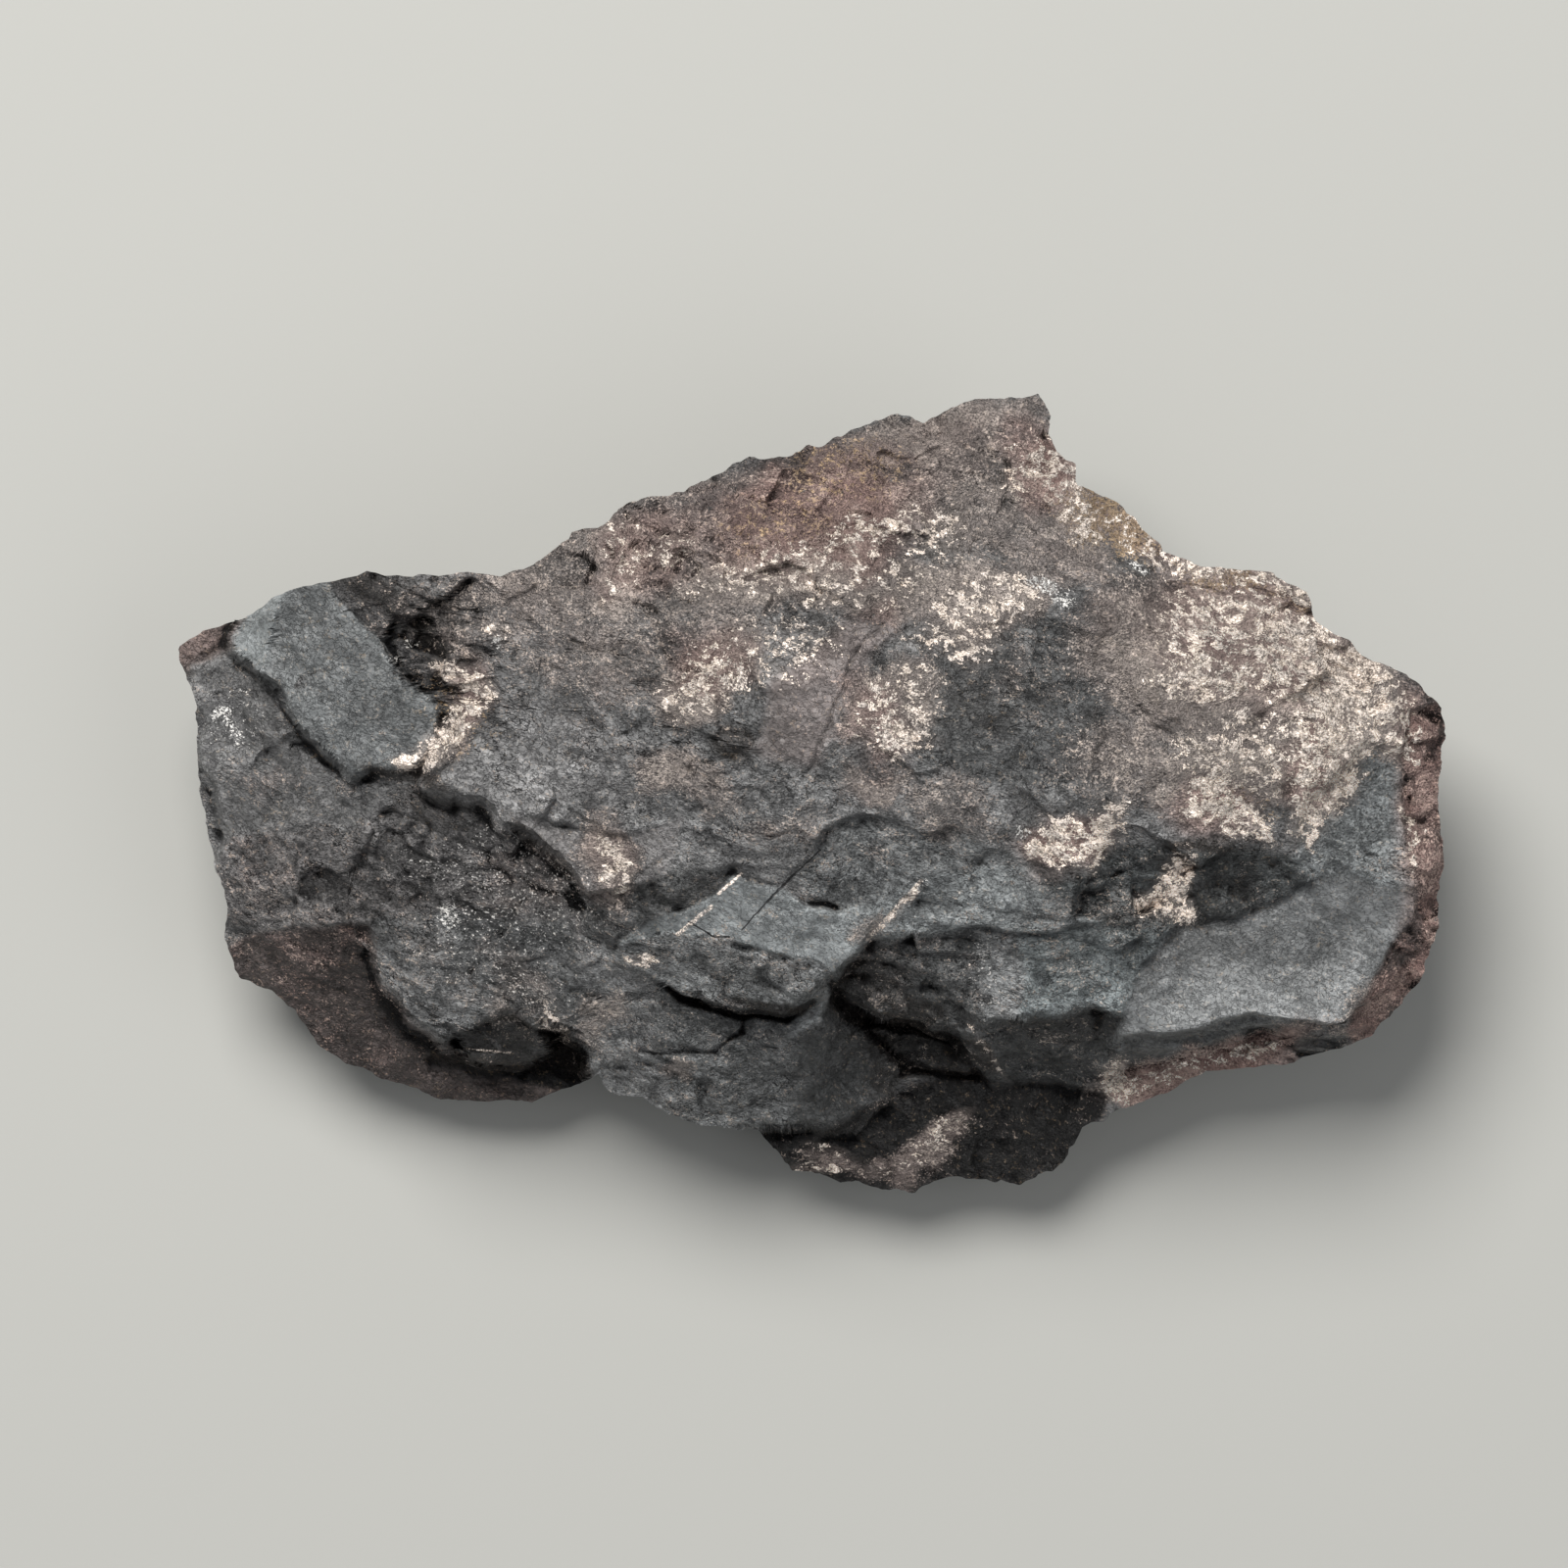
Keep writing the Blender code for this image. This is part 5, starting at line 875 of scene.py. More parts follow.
        (-9.5, -1.6, 1.8, 0.5, -8, 0.55), (-6.0, -3.9, 2.2, 0.7, 12, 0.45), (24.7, 1.8, 0.35, 3.2, 0, 0.80),
        (16.8, 8.7, 1.6, 0.25, -15, 0.70), (-2.4, -6.7, 2.6, 0.8, -10, 0.45),
        (20.0, -2.0, 1.2, 0.6, 10, 0.35), (17.0, -1.8, 2.0, 0.4, 8, 0.60), (-13.4, -10.5, 3.0, 0.25, -4, 0.9),
        (2.4, -7.3, 1.8, 1.2, -25, 0.80), (10.9, -5.7, 3.0, 1.1, 8, 0.40), (24.75, -2.5, 0.3, 4.5, 0, 0.80),
        (3.9, -8.2, 1.6, 0.5, -20, 0.85),
    ],
    "ochre": [
        (12.0, 10.9, 2.4, 1.3, -35, 1.0), (16.4, 8.6, 2.2, 0.5, -15, 0.80), (15.9, 0.0, 1.0, 0.7, -25, 0.7),
        (18.8, 7.6, 1.6, 0.8, -25, 0.55), (1.5, 12.9, 2.2, 1.2, 10, 0.35), (16.4, -0.2, 1.7, 1.0, -18, 0.45),
        (21.4, 1.8, 1.6, 1.2, 30, 0.35), (-1.2, 10.8, 2.4, 1.2, 10, 0.30), (-13.6, 3.4, 1.2, 1.6, 20, 0.35),
    ],
    "blush": [
        (0.1, 11.3, 4.4, 2.2, 12, 0.75), (-3.8, 5.3, 1.8, 1.2, 0, 0.50), (-6.1, 9.8, 2.2, 1.6, 25, 0.55),
        (9.0, 12.9, 1.2, 1.8, 20, 0.75), (15.6, -0.7, 1.6, 1.2, 0, 0.80), (19.8, 1.3, 1.2, 1.8, -20, 0.70),
        (9.8, -1.8, 1.8, 1.0, 0, 0.80), (-7.6, -2.2, 1.2, 1.4, 0, 0.25), (2.0, 9.8, 1.8, 1.1, 0, 0.65),
        (2.8, 2.8, 1.2, 1.6, 0, 0.45), (17.6, 6.4, 4.4, 2.6, -25, 0.45), (-13.4, 3.6, 0.8, 1.6, 0, 0.50),
        (16.2, -10.5, 3.6, 0.9, 15, 0.90), (24.1, -1.1, 0.9, 6.5, 0, 0.60), (13.0, 10.4, 2.2, 1.2, -35, 0.55),
        (4.6, 13.6, 3.4, 1.4, 12, 0.15),
    ],
    # sparkle: where white flecks are laid, partly painted glints
    "sparkle": [
        (-11.5, -3.8, 3.8, 2.6, -25, 0.95), (-12.4, -6.6, 3.2, 2.0, -30, 0.85),
        (-14.6, -3.0, 1.6, 1.6, 0, 0.8), (7.1, -7.0, 0.9, 1.8, 10, 0.95), (-22.6, 3.0, 1.2, 1.0, 0, 0.75),
        (15.0, -0.2, 4.0, 2.5, 0, 0.30), (-5.0, -9.0, 2.0, 2.0, 0, 0.25), (12.2, 6.0, 4.0, 2.0, 0, 0.30),
    ],
}


# Strength of a list of spots: the strongest of their soft ellipses, with wandering edges
def spotted(x, y, listed):
    wanderX, wanderY = named("spotX", x, y), named("spotY", x, y)
    total = np.zeros(x.shape)
    for middleX, middleY, length, width, turn, strength in listed:
        cosTurn, sinTurn = math.cos(math.radians(turn)), math.sin(math.radians(turn))
        wander = min(0.45, 0.6 * width)
        awayX, awayY = x + wander * wanderX - middleX, y + wander * wanderY - middleY
        along = (awayX * cosTurn + awayY * sinTurn) / length
        across = (awayY * cosTurn - awayX * sinTurn) / width
        total = np.maximum(total, strength * eased(1.55 - np.hypot(along, across)))
    return total


# The looks of every point of the stone: masks from 0 to 1, and the tone of its face and chip
def stoneLooks(places, normals):
    x, y, z = places.T
    ground = {name: mapped(name, x, y) for name in broadMaps}
    onTop = eased((z - ground["height"] + 1.4) / 1.0) * eased(normals[:, 2] / 0.3 + 1.0)
    looks = {name: spotted(x, y, listed) * onTop for name, listed in spots.items()}
    cloud = named("clouds", x + 0.5 * z, y - 0.4 * z)
    looks["patina"] = np.maximum(looks["patina"], (0.16 + 0.22 * cloud) * (1.0 - 0.5 * onTop))
    for name, value in zip(faceChannels, sideLook):
        looks[name] = ground[name] * onTop + value * (1.0 - onTop)
    looks["tone"] = looks["tone"] * (1.0 + 0.10 * cloud) / fullLook
    looks["rust"] = np.maximum(looks["rust"], looks["blush"])
    looks["grain"] = np.clip(ground["grain"] * onTop + 1.0 - onTop, 0.0, fullLook) / fullLook
    # hollow and rise carry painted shade in hollows and recesses, and a painted highlight on ridges
    looks["hollow"] = 0.4 + 0.3 * ground["hollow"] * onTop
    level = onTop * eased((normals[:, 2] - 0.5) / 0.35)
    looks["rise"] = 0.5 + np.clip((z - ground["smooth"]) / 0.5, -0.5, 0.5) * level
    return looks


# Finest roughness: solid noise in two sizes, stretched along the stone, square to the surface
def roughened(places, normals, grain):
    x, y, z = places.T
    rough = np.zeros(len(x))
    for size, share in stoneForm["skinSizes"]:
        rough += share * solidNoise(x / stoneForm["skinStretch"], y, z, size, stoneForm["skinSeed"])
    free = eased(z / 0.3)
    return places + (stoneForm["skinGrain"] * (0.35 + 1.2 * grain) * free * rough)[:, None] * normals


# A colour attribute whose first channels hold some of the looks
def addAttribute(mesh, name, looks, channels):
    values = np.ones((len(mesh.vertices), 4), np.float32)
    for place, channel in enumerate(channels):
        values[:, place] = looks[channel]
    attribute = mesh.attributes.new(name, "FLOAT_COLOR", "POINT")
    attribute.data.foreach_set("color", values.ravel())


# Three looks travel in each colour attribute
lookChannels = {
    "deposits": ("patina", "crust", "white"),
    "stainsShadeAndGlints": ("dark", "ochre", "sparkle"),
    "stoneTone": faceChannels,
    "surface": ("grain", "rise", "hollow"),
}


# Brings millimetre places into the solid's box: each axis is stretched from its own ends to the box's
def intoBox(places):
    low, high = places.min(axis=0), places.max(axis=0)
    boxLow, boxHigh = np.array(stoneLow), np.array(stoneHigh)
    return boxLow + (places - low) / (high - low) * (boxHigh - boxLow)


# The stone's object: its surface, thinned, with its looks and the finest roughness
def buildStone():
    points, faces = stoneSurface()
    print("surface worked out:", len(points), "points")
    mesh = thinned(meshFromArrays("hematiteSkin", points, faces), stoneForm["triangles"])
    print("thinned to", len(mesh.polygons), "triangles")
    places = vectors(mesh.vertices, "co")
    normals = vectors(mesh.vertex_normals, "vector")
    looks = stoneLooks(places, normals)
    for name, channels in lookChannels.items():
        addAttribute(mesh, name, looks, channels)
    places = intoBox(roughened(places, normals, looks["grain"]))
    mesh.vertices.foreach_set("co", places.astype(np.float32).ravel())
    mesh.shade_smooth()
    mesh.set_sharp_from_angle(angle=math.radians(stoneForm["sharpAngle"]))
    mesh.update()
    return addObject("hematiteSkin", mesh)


# Nodes: a number or a colour is set on its socket, and the output of another node is linked to it
def addNode(tree, kind, **settings):
    node = tree.nodes.new(kind)
    for name, value in settings.items():
        setattr(node, name, value)
    return node


def plug(tree, source, target):
    if isinstance(source, (int, float)):
        target.default_value = source
    elif isinstance(source, tuple):
        target.default_value = (*source, 1.0) if len(target.default_value) == 4 else source
    else:
        tree.links.new(source, target)


def calculate(tree, operation, *values):
    node = addNode(tree, "ShaderNodeMath", operation=operation)
    for value, target in zip(values, node.inputs):
        plug(tree, value, target)
    return node.outputs[0]


# One operation on value after value, from left to right
def chained(tree, operation, values):
    total = values[0]
    for value in values[1:]:
        total = calculate(tree, operation, total, value)
    return total


def times(tree, *values):
    return chained(tree, "MULTIPLY", values)


def plus(tree, *values):
    return chained(tree, "ADD", values)


def highest(tree, *values):
    return chained(tree, "MAXIMUM", values)


# Vector sums; a scale goes to the node's own socket, and a dot product comes out as a number
def vectorMath(tree, operation, first, second):
    node = addNode(tree, "ShaderNodeVectorMath", operation=operation)
    plug(tree, first, node.inputs[0])
    plug(tree, second, node.inputs["Scale"] if operation == "SCALE" else node.inputs[1])
    return node.outputs["Value" if operation == "DOT_PRODUCT" else "Vector"]


def mixColours(tree, share, first, second):
    node = addNode(tree, "ShaderNodeMix", data_type="RGBA", blend_type="MIX")
    plug(tree, share, node.inputs["Factor"])
    plug(tree, first, node.inputs["A"])
    plug(tree, second, node.inputs["B"])
    return node.outputs["Result"]


def softRange(tree, value, low, high, toLow=0.0, toHigh=1.0):
    node = addNode(tree, "ShaderNodeMapRange", interpolation_type="SMOOTHSTEP")
    for source, target in zip((value, low, high, toLow, toHigh), node.inputs):
        plug(tree, source, target)
    return node.outputs["Result"]


# Noise of a place: its waves for each millimetre, its detail and its own roughness
def waves(tree, place, scale, detail, roughness=0.5):
    node = addNode(tree, "ShaderNodeTexNoise")
    for socket, value in (("Vector", place), ("Scale", scale), ("Detail", detail), ("Roughness", roughness)):
        plug(tree, value, node.inputs[socket])
    return node.outputs


# A group: an input without a number of its own is a place, and every output is a number. fill
# builds what is inside and gives the value of each output
def nodeGroup(name, inputs, outputs, fill):
    tree = bpy.data.node_groups.new(name, "ShaderNodeTree")
    for socket, value in inputs.items():
        kind = "NodeSocketVector" if value is None else "NodeSocketFloat"
        made = tree.interface.new_socket(socket, in_out="INPUT", socket_type=kind)
        if value is not None:
            made.default_value = value
    for socket in outputs:
        tree.interface.new_socket(socket, in_out="OUTPUT", socket_type="NodeSocketFloat")
    entry = addNode(tree, "NodeGroupInput")
    leave = addNode(tree, "NodeGroupOutput")
    for value, socket in zip(fill(tree, entry.outputs), leave.inputs):
        plug(tree, value, socket)
    return tree


def useGroup(tree, group, **values):
    node = addNode(tree, "ShaderNodeGroup", node_tree=group)
    for name, value in values.items():
        plug(tree, value, node.inputs[name])
    return node.outputs


# Grains: noise of a given size in millimetres, drawn out along the bedding by the stretch
def grainGroup():
    def fill(tree, given):
        stretch = addNode(tree, "ShaderNodeCombineXYZ")
        drawn = calculate(tree, "DIVIDE", 1.0, given["Stretch"])
        for share, socket in zip((drawn, 1.0, 1.0), stretch.inputs):
            plug(tree, share, socket)
        place = vectorMath(tree, "MULTIPLY", given["Place"], stretch.outputs[0])
        perLength = calculate(tree, "DIVIDE", 1.0, given["Size"])
        return [waves(tree, place, perLength, *stoneFinish["grainWaves"])["Fac"]]

    return nodeGroup("stoneGrain", {"Place": None, "Size": 0.5, "Stretch": 1.0}, ["Grain"], fill)


# Coating: its grains close as the amount grows, coat = soft step of grain at the level 1.08 - 1.1 * amount
def coatGroup():
    def fill(tree, given):
        level = sloped(tree, given["Amount"], "coatLevel")
        low = calculate(tree, "SUBTRACT", level, given["Softness"])
        high = plus(tree, level, given["Softness"])
        return [softRange(tree, given["Grain"], low, high)]

    return nodeGroup("grainyCoat", {"Grain": 0.5, "Amount": 0.5, "Softness": 0.1}, ["Coat"], fill)


# Splinters: each cell is a small tilted flat. Height = step + tilt . (place - cell middle) / size,
# with the step and tilt from the cell's random colour; tone is random for each cell
def splinterGroup():
    def fill(tree, given):
        cells = addNode(tree, "ShaderNodeTexVoronoi")
        plug(tree, given["Place"], cells.inputs["Vector"])
        perLength = calculate(tree, "DIVIDE", 1.0, given["Size"])
        plug(tree, perLength, cells.inputs["Scale"])
        offset = vectorMath(tree, "SUBTRACT", given["Place"], cells.outputs["Position"])
        tilt = vectorMath(tree, "SUBTRACT", cells.outputs["Color"], middleGrey)
        slope = times(tree, vectorMath(tree, "DOT_PRODUCT", offset, tilt), perLength)
        parts = addNode(tree, "ShaderNodeSeparateColor")
        plug(tree, cells.outputs["Color"], parts.inputs[0])
        step = sloped(tree, parts.outputs[1], "splinterStep")
        height = calculate(tree, "MULTIPLY_ADD", slope, stoneFinish["splinterTilt"], step)
        return [height, parts.outputs[0]]

    return nodeGroup("stoneSplinters", {"Place": None, "Size": 0.5}, ["Height", "Tone"], fill)


# Fine line between two places, seen from above: distance from the segment, |away - run * share|
def lineGroup():
    def fill(tree, given):
        away = vectorMath(tree, "SUBTRACT", given["Place"], given["Start"])
        run = vectorMath(tree, "SUBTRACT", given["End"], given["Start"])
        along = vectorMath(tree, "DOT_PRODUCT", away, run)
        share = calculate(tree, "DIVIDE", along, vectorMath(tree, "DOT_PRODUCT", run, run))
        share = calculate(tree, "MINIMUM", highest(tree, share, 0.0), 1.0)
        aside = vectorMath(tree, "SUBTRACT", away, vectorMath(tree, "SCALE", run, share))
        gap = calculate(tree, "SQRT", vectorMath(tree, "DOT_PRODUCT", aside, aside))
        core = times(tree, given["Width"], stoneFinish["lineCore"])
        return [softRange(tree, gap, core, given["Width"], 1.0, 0.0)]

    return nodeGroup("fineLine", {"Place": None, "Start": None, "End": None, "Width": 0.05}, ["Line"], fill)


# Fine lines of the flake and the lower left slab: half width, start, end
darkLines = [
    (0.045, (0.35, -2.1), (-0.7, -3.1)), (0.055, (-0.7, -3.1), (-1.7, -4.1)),
    (0.035, (-1.7, -4.1), (-2.7, -5.2)), (0.040, (-4.8, -4.9), (-3.8, -5.5)),
    (0.040, (-3.8, -5.5), (-3.2, -5.5)),
]
# Pale lines: pale streaks of the flake and the middle, and along the lower left slab's lip a painted
# highlight
paleAndHighlightLines = [
    (0.11, (-5.2, -5.4), (-3.9, -4.3)), (0.08, (-3.6, -3.8), (-2.7, -3.0)),
    (0.05, (-13.6, -10.0), (-11.9, -10.15)), (0.10, (2.2, -5.6), (4.3, -3.3)),
]

middleGrey = (0.5, 0.5, 0.5)
stoneColours = {
    # deep: near black of dark marks and of painted shade in recesses and hollows
    "deepMarkAndShade": (0.014, 0.014, 0.015), "slate": (0.150, 0.150, 0.151), "teal": (0.128, 0.147, 0.151),
    "rust": (0.195, 0.140, 0.126), "film": (0.308, 0.270, 0.252), "dust": (0.605, 0.530, 0.480),
    "redFilm": (0.375, 0.226, 0.200), "redDust": (0.685, 0.500, 0.440), "stainAndShadeBrown": (0.036, 0.031, 0.028),
    "crust": (0.775, 0.655, 0.560), "ochre": (0.455, 0.325, 0.200), "white": (0.84, 0.82, 0.79),
}
stoneFinish = {
    "bump": 1.0, "bumpDepth": 0.00024,
    "drift": 1.0, "driftSize": 4.5,  # how far, and over what length, the direction of the dashes wanders
    "grainWaves": (3.0, 0.62), "swayWaves": (3.0, 2.0), "splinterSizes": {"broad": 0.80, "small": 0.28},
    "splinterStretch": 1.5, "splinterFray": 0.22, "splinterTilt": 1.6, "lineFray": 0.10, "lineCore": 0.4,
    "toneGain": 1.74, "patinaContrast": 0.85, "speckleMiddle": 0.47, "splitMiddle": 0.50,
    "crustGround": 0.55, "fleckEdge": 0.03, "fleckStrength": 0.8, "darkLineStrength": 0.9,
}

# Grains: size in millimetres, and how far they are drawn out along the bedding
grainSizes = {
    "coarse": (1.3, 1.5), "medium": (0.36, 1.2), "fine": (0.16, 1.0), "finest": (0.08, 1.0),
    "dashes": (0.12, 1.5), "patches": (2.4, 1.5), "creases": (0.26, 1.3), "lines": (0.50, 1.7),
}

# Coats: how much of the amount counts, softness of their grains, strength of their colour
coats = {"stainAndShade": (1.0, 0.5, 0.92), "dust": (0.88, 0.12, 0.85), "earth": (0.8, 0.2, 0.95),
         "crust": (1.0, 0.07, 1.0), "crystals": (0.62, 0.07, 1.0)}

# Mixes: the share of each part
mixes = {
    "speckle": {"medium": 0.40, "fine": 0.35, "finest": 0.25},
    "powder": {"medium": 0.30, "fine": 0.30, "finest": 0.40},
    "split": {"smallTone": 0.60, "broadTone": 0.40},
    "clumps": {"coarse": 0.4, "medium": 0.6},
    "crustGrain": {"powder": 0.5, "blotches": 0.5},
    "flecks": {"fine": 0.65, "finest": 0.35},
    "relief": {"contrasted": 0.55, "broadHeight": 1.10, "smallHeight": 0.75, "dash": -0.35,
               "crackle": -0.6, "creases": -0.25, "darkMask": -1.2, "crust": 0.5, "dust": 0.2},
}

# Slopes: a value times the first number, plus the second
slopes = {
    "coatLevel": (-1.1, 1.08), "splinterStep": (0.5, -0.25), "fleckLevel": (-0.14, 0.72),
    "crustCreases": (-0.45, 1.09), "creaseTone": (-0.46, 1.19),
}

# Soft ranges: from the first number to the second, a value eases from 0 to 1, or from the third
# number to the fourth where they are given
ranges = {
    "speckle": (0.38, 0.62), "powder": (0.39, 0.61), "blotches": (0.38, 0.62),
    "creases": (0.0, 0.040, 1.0, 0.0), "lines": (0.004, 0.026, 1.0, 0.0),
    "grainContrast": (0.05, 0.75, 0.34, 0.66), "patchContrast": (0.36, 0.62, 0.50, 1.30),
    "splitContrast": (0.05, 0.75, 0.35, 1.0), "coarseTone": (0.32, 0.68, 0.76, 1.24),
    # ridge tone: a painted highlight where the hollow map is low
    "paintedRidgeHighlight": (0.22, 0.40, 1.40, 1.0),
    "cracklePatches": (0.47, 0.58), "crackleOnRough": (0.05, 0.7, 0.30, 0.85),
    "dash": (0.60, 0.66), "dashOnRough": (0.05, 0.8, 0.25, 0.75),
    "pit": (0.0, 0.22, 1.0, 0.0), "pitOnRough": (0.1, 0.8, 0.10, 0.50),
    # recess and hollow: how strongly painted shade darkens recesses and hollows
    "recess": (0.0, 0.36, 0.55, 0.0), "hollow": (0.50, 0.92, 0.0, 0.95),
    "filmAndHighlightOnRise": (0.2, 0.85, -0.10, 0.12), "filmPatches": (0.3, 0.7, -0.14, 0.14),
    "filmOnRough": (0.1, 0.6, -0.16, -0.02), "film": (0.1, 0.9, 0.0, 0.85),
    "filmOverLow": (0.1, 0.9, 1.0, 0.35),
    "crustClumps": (0.40, 0.54, 0.68, 1.06), "crustTone": (0.05, 0.70, 0.55, 1.50),
    "fleckPatches": (0.05, 0.3), "upperSide": (4.0, 5.0), "paleBreaks": (0.25, 0.55, 0.25, 0.95),
    "roughness": (0.0, 1.0, 0.45, 0.85), "uncoated": (0.0, 1.0, 1.0, 0.0),
    "metallic": (0.2, 1.0, 0.08, 0.85), "reliefDepth": (0.0, 0.8, 0.22, 1.0),
}


def ranged(tree, value, name):
    return softRange(tree, value, *ranges[name])


def sloped(tree, value, name):
    return calculate(tree, "MULTIPLY_ADD", value, *slopes[name])


# Sum of a mix's parts, each times its share
def mixture(tree, parts, name):
    total = 0.0
    for part, share in mixes[name].items():
        total = calculate(tree, "MULTIPLY_ADD", parts[part], share, total)
    return total


# The looks of the mesh, each from its channel of a colour attribute
def meshLooks(tree):
    look = {}
    for name, channels in lookChannels.items():
        attribute = addNode(tree, "ShaderNodeAttribute", attribute_name=name)
        parts = addNode(tree, "ShaderNodeSeparateColor")
        plug(tree, attribute.outputs["Color"], parts.inputs[0])
        look.update(zip(channels, parts.outputs))
    return look


# Places in millimetres: as they are, drifting along the bedding, and a small sway that frays edges
def stonePlaces(tree):
    def sway(scale, detail):
        return vectorMath(tree, "SUBTRACT", waves(tree, place, scale, detail)["Color"], middleGrey)

    coordinates = addNode(tree, "ShaderNodeTexCoord")
    place = vectorMath(tree, "SCALE", coordinates.outputs["Object"], 1000.0)
    drift = vectorMath(tree, "SCALE", sway(1.0 / stoneFinish["driftSize"], 1.0), stoneFinish["drift"])
    turned = addNode(tree, "ShaderNodeMapping")
    plug(tree, vectorMath(tree, "ADD", place, drift), turned.inputs["Vector"])
    turned.inputs["Rotation"].default_value = (0.0, 0.0, -math.radians(stoneForm["chipTurn"]))
    return place, turned.outputs["Vector"], sway(*stoneFinish["swayWaves"])


# Grains, their mixes, thin lines where a grain crosses its middle, and splinters of two sizes
def grainParts(tree, drifted, sway):
    grained, splintered = grainGroup(), splinterGroup()
    part = {name: useGroup(tree, grained, Place=drifted, Size=size, Stretch=stretch)["Grain"]
            for name, (size, stretch) in grainSizes.items()}
    for name in ("creases", "lines"):
        crossing = calculate(tree, "ABSOLUTE", calculate(tree, "SUBTRACT", part[name], 0.5))
        part[name] = ranged(tree, crossing, name)
    for name in ("speckle", "powder"):
        part[name] = ranged(tree, mixture(tree, part, name), name)
    part["blotches"] = ranged(tree, part["medium"], "blotches")
    frayed = vectorMath(tree, "ADD", drifted, vectorMath(tree, "SCALE", sway, stoneFinish["splinterFray"]))
    flattened = vectorMath(tree, "MULTIPLY", frayed, (1.0 / stoneFinish["splinterStretch"], 1.0, 1.0))
    for name, size in stoneFinish["splinterSizes"].items():
        splinters = useGroup(tree, splintered, Place=flattened, Size=size)
        part[name + "Height"], part[name + "Tone"] = splinters["Height"], splinters["Tone"]
    return part


# Bare stone: slate, turned blue-green or rusty by face. Shade = face's tone * coarse grain *
# (1 + contrast * speckle) * (1 + contrast * splinters) * tone of the ridges, a painted highlight on ridges
def bareStone(tree, look, part):
    colour = mixColours(tree, look["teal"], stoneColours["slate"], stoneColours["teal"])
    colour = mixColours(tree, look["rust"], colour, stoneColours["rust"])
    dusty = times(tree, look["patina"], stoneFinish["patinaContrast"])
    contrast = plus(tree, ranged(tree, look["grain"], "grainContrast"), dusty)
    contrast = times(tree, contrast, ranged(tree, part["patches"], "patchContrast"))
    part["contrasted"] = times(tree, part["speckle"], contrast)
    speckled = calculate(tree, "SUBTRACT", part["speckle"], stoneFinish["speckleMiddle"])
    split = calculate(tree, "SUBTRACT", mixture(tree, part, "split"), stoneFinish["splitMiddle"])
    shade = times(
        tree, look["tone"], stoneFinish["toneGain"], ranged(tree, part["coarse"], "coarseTone"),
        plus(tree, 1.0, times(tree, speckled, contrast)),
        plus(tree, 1.0, times(tree, split, ranged(tree, look["grain"], "splitContrast"))),
        ranged(tree, look["hollow"], "paintedRidgeHighlight"))
    return vectorMath(tree, "SCALE", colour, shade)


# Short dark dashes, cracks and pits along the bedding, and painted shade in the recesses and hollows
def darkMarksAndShade(tree, look, part, colour):
    rough = look["grain"]
    part["crackle"] = times(tree, part["lines"], ranged(tree, part["coarse"], "cracklePatches"),
                            ranged(tree, rough, "crackleOnRough"))
    part["dash"] = times(tree, ranged(tree, part["dashes"], "dash"), ranged(tree, rough, "dashOnRough"))
    pits = times(tree, ranged(tree, part["speckle"], "pit"), ranged(tree, rough, "pitOnRough"))
    # recess and hollow: painted shade, darker where the surface lies below its surroundings
    recess = ranged(tree, look["rise"], "recess")
    hollow = ranged(tree, look["hollow"], "hollow")
    part["low"] = highest(tree, part["dash"], pits, recess, part["crackle"], hollow)
    return mixColours(tree, part["low"], colour, stoneColours["deepMarkAndShade"])


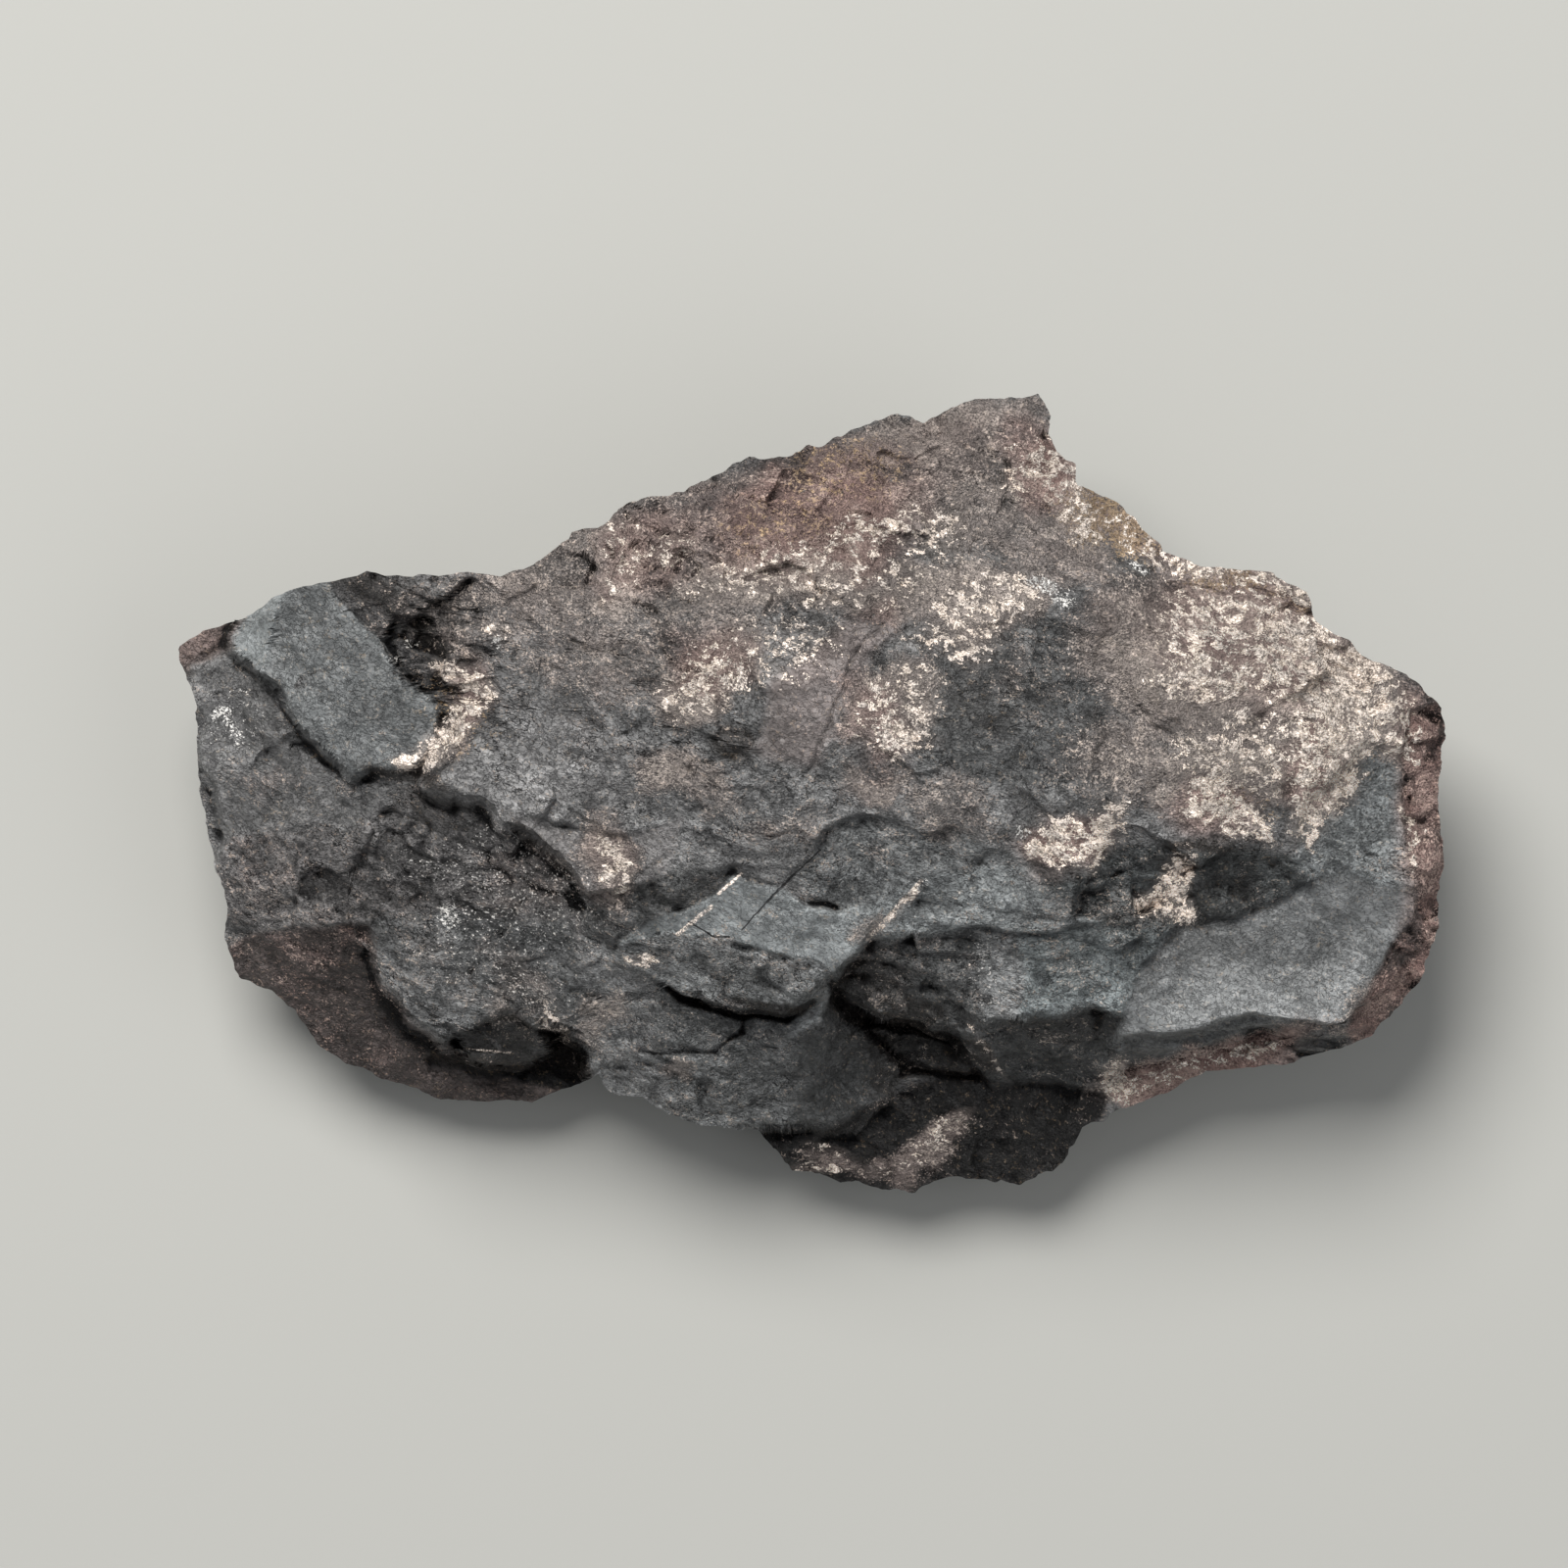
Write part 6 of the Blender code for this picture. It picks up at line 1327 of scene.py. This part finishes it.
# Coats in the order in which they lie: dark stains with painted shadows, dusty film and its brighter grains,
# ochre earth, pale crust, flecks that are partly painted glints, and white crystals
def coatedStone(tree, look, part, colour):
    coated = coatGroup()

    def coat(name, grain, amount):
        counted, softness, _ = coats[name]
        amount = times(tree, amount, counted)
        return useGroup(tree, coated, Grain=grain, Amount=amount, Softness=softness)["Coat"]

    def laid(name, mask, over):
        return mixColours(tree, times(tree, mask, coats[name][2]), colour, over)

    # dark stains and painted shadows, laid in a dark brown
    stainAndShade = times(tree, coat("stainAndShade", part["medium"], look["dark"]), look["dark"])
    colour = laid("stainAndShade", stainAndShade, stoneColours["stainAndShadeBrown"])
    # the film grows on rises and thins in recesses: partly a painted highlight and painted shade
    amount = plus(tree, look["patina"], ranged(tree, look["rise"], "filmAndHighlightOnRise"),
                  ranged(tree, part["coarse"], "filmPatches"), ranged(tree, look["grain"], "filmOnRough"))
    film = times(tree, ranged(tree, amount, "film"), ranged(tree, part["low"], "filmOverLow"))
    filmColour = mixColours(tree, look["rust"], stoneColours["film"], stoneColours["redFilm"])
    colour = mixColours(tree, film, colour, filmColour)
    part["dust"] = coat("dust", part["powder"], amount)
    dustColour = mixColours(tree, look["rust"], stoneColours["dust"], stoneColours["redDust"])
    dustColour = mixColours(tree, part["broadTone"], filmColour, dustColour)
    colour = laid("dust", part["dust"], dustColour)
    colour = laid("earth", coat("earth", part["speckle"], look["ochre"]), stoneColours["ochre"])

    colour = mixColours(tree, times(tree, look["crust"], stoneFinish["crustGround"]), colour, dustColour)
    clumped = times(tree, look["crust"], ranged(tree, mixture(tree, part, "clumps"), "crustClumps"))
    part["crust"] = coat("crust", mixture(tree, part, "crustGrain"), clumped)
    crinkled = times(tree, ranged(tree, part["speckle"], "crustTone"),
                     sloped(tree, part["creases"], "crustCreases"))
    crustColour = mixColours(tree, part["smallTone"], stoneColours["dust"], stoneColours["crust"])
    part["crustColour"] = vectorMath(tree, "SCALE", crustColour, crinkled)
    colour = laid("crust", part["crust"], part["crustColour"])
    # flecks: white specks that are partly painted glints
    level = sloped(tree, look["sparkle"], "fleckLevel")
    edge = plus(tree, level, stoneFinish["fleckEdge"])
    flecks = times(tree, softRange(tree, mixture(tree, part, "flecks"), level, edge),
                   ranged(tree, look["sparkle"], "fleckPatches"), stoneFinish["fleckStrength"])
    crystals = coat("crystals", part["powder"], look["white"])
    return laid("crystals", highest(tree, flecks, crystals), stoneColours["white"])


# Fine lines, on the upper side alone, frayed like the splinters; the pale ones, one of them a painted
# highlight, are broken by the grains
def linedStone(tree, part, place, sway, colour):
    lined = lineGroup()
    frayed = vectorMath(tree, "ADD", place, vectorMath(tree, "SCALE", sway, stoneFinish["lineFray"]))
    flat = vectorMath(tree, "MULTIPLY", frayed, (1.0, 1.0, 0.0))
    height = addNode(tree, "ShaderNodeSeparateXYZ")
    plug(tree, place, height.inputs[0])
    above = ranged(tree, height.outputs[2], "upperSide")

    def lineMask(listed):
        lines = [useGroup(tree, lined, Place=flat, Start=(*start, 0.0), End=(*end, 0.0), Width=width)["Line"]
                 for width, start, end in listed]
        return times(tree, highest(tree, *lines), above)

    part["darkMask"] = lineMask(darkLines)
    darkened = times(tree, part["darkMask"], stoneFinish["darkLineStrength"])
    colour = mixColours(tree, darkened, colour, stoneColours["deepMarkAndShade"])
    paleAndHighlightMask = times(tree, lineMask(paleAndHighlightLines), ranged(tree, part["powder"], "paleBreaks"))
    return mixColours(tree, paleAndHighlightMask, colour, part["crustColour"])


def hematiteMaterial():
    material = bpy.data.materials.new("weatheredHematite")
    material.use_nodes = True
    tree = material.node_tree
    finish = tree.nodes["Principled BSDF"]
    look = meshLooks(tree)
    place, drifted, sway = stonePlaces(tree)
    part = grainParts(tree, drifted, sway)
    colour = darkMarksAndShade(tree, look, part, bareStone(tree, look, part))
    colour = linedStone(tree, part, place, sway, coatedStone(tree, look, part, colour))
    colour = vectorMath(tree, "SCALE", colour, sloped(tree, part["creases"], "creaseTone"))
    plug(tree, colour, finish.inputs["Base Color"])

    # cleaved faces are smoother, coats are dull
    dull = highest(tree, part["dust"], part["crust"], times(tree, look["grain"], part["speckle"]))
    plug(tree, ranged(tree, dull, "roughness"), finish.inputs["Roughness"])

    # dark marks and the recesses and hollows that hold painted shade are the most like metal, which keeps
    # them from showing a pale gloss and keeps the painted shade dark
    uncoated = ranged(tree, plus(tree, part["dust"], part["crust"]), "uncoated")
    metallic = ranged(tree, times(tree, part["low"], uncoated), "metallic")
    plug(tree, metallic, finish.inputs["Metallic"])

    # fine relief, deeper on rough and coated stretches
    depth = ranged(tree, highest(tree, look["grain"], look["patina"]), "reliefDepth")
    bump = addNode(tree, "ShaderNodeBump")
    plug(tree, times(tree, mixture(tree, part, "relief"), depth), bump.inputs["Height"])
    plug(tree, stoneFinish["bump"], bump.inputs["Strength"])
    plug(tree, stoneFinish["bumpDepth"], bump.inputs["Distance"])
    plug(tree, bump.outputs["Normal"], finish.inputs["Normal"])
    return material


broadMaps = faceMaps()
print("broad face worked out on a grid of", broadMaps["height"].size, "places")
stone = buildStone()
stone.data.materials.clear()
stone.data.materials.append(hematiteMaterial())
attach(stone, "root")
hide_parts("hematite_stone")
print("stone made")


# Table, lights and camera
setting = {
    "floorSize": 4.0, "floorDrop": 0.00002, "floorColour": (0.47, 0.47, 0.445), "floorRoughness": 0.85,
    "skyColour": (0.93, 0.96, 1.0), "skyStrength": 0.24,
    "keyPlace": (-0.11, 0.26, 0.38), "keySize": 0.30, "keyPower": 2.9, "keyColour": (1.0, 0.985, 0.96),
    "fillPlace": (0.30, -0.10, 0.35), "fillSize": 0.40, "fillPower": 0.35,
    "cameraHeight": 0.50, "cameraNear": 0.01, "rimHeight": 0.007, "frameWidth": 0.0619,
    "frameMiddle": (-0.00106, 0.00048), "sensorWidth": 36.0,
}


def addFloor():
    half = setting["floorSize"] / 2
    corners = [(-half, -half, 0.0), (half, -half, 0.0), (half, half, 0.0), (-half, half, 0.0)]
    mesh = bpy.data.meshes.new("tableTop")
    mesh.from_pydata(corners, [], [(0, 1, 2, 3)])
    floor = addObject("tableTop", mesh)
    floor.location.z = -setting["floorDrop"]
    material = bpy.data.materials.new("paleTable")
    material.use_nodes = True
    finish = material.node_tree.nodes["Principled BSDF"]
    finish.inputs["Base Color"].default_value = (*setting["floorColour"], 1.0)
    finish.inputs["Roughness"].default_value = setting["floorRoughness"]
    mesh.materials.append(material)


def addLamp(name, place, size, power, colour=(1.0, 1.0, 1.0)):
    lamp = bpy.data.lights.new(name, "AREA")
    lamp.shape = "DISK"
    lamp.size = size
    lamp.energy = power
    lamp.color = colour
    holder = addObject(name, lamp)
    holder.location = place
    holder.rotation_euler = Vector(place).to_track_quat("Z", "Y").to_euler()


def addSky():
    world = bpy.data.worlds.new("softSky")
    bpy.context.scene.world = world
    world.use_nodes = True
    background = world.node_tree.nodes["Background"]
    background.inputs["Color"].default_value = (*setting["skyColour"], 1.0)
    background.inputs["Strength"].default_value = setting["skyStrength"]


def addCamera():
    camera = bpy.data.cameras.new("camera")
    camera.sensor_width = setting["sensorWidth"]
    reach = setting["cameraHeight"] - setting["rimHeight"]
    camera.lens = setting["sensorWidth"] * reach / setting["frameWidth"]
    camera.clip_start = setting["cameraNear"]
    holder = addObject("camera", camera)
    holder.location = (*setting["frameMiddle"], setting["cameraHeight"])
    bpy.context.scene.camera = holder


addFloor()
addLamp("keyLamp", setting["keyPlace"], setting["keySize"], setting["keyPower"], setting["keyColour"])
addLamp("fillLamp", setting["fillPlace"], setting["fillSize"], setting["fillPower"])
addSky()
addCamera()
bpy.context.scene.view_settings.view_transform = "Standard"
print("stage set")
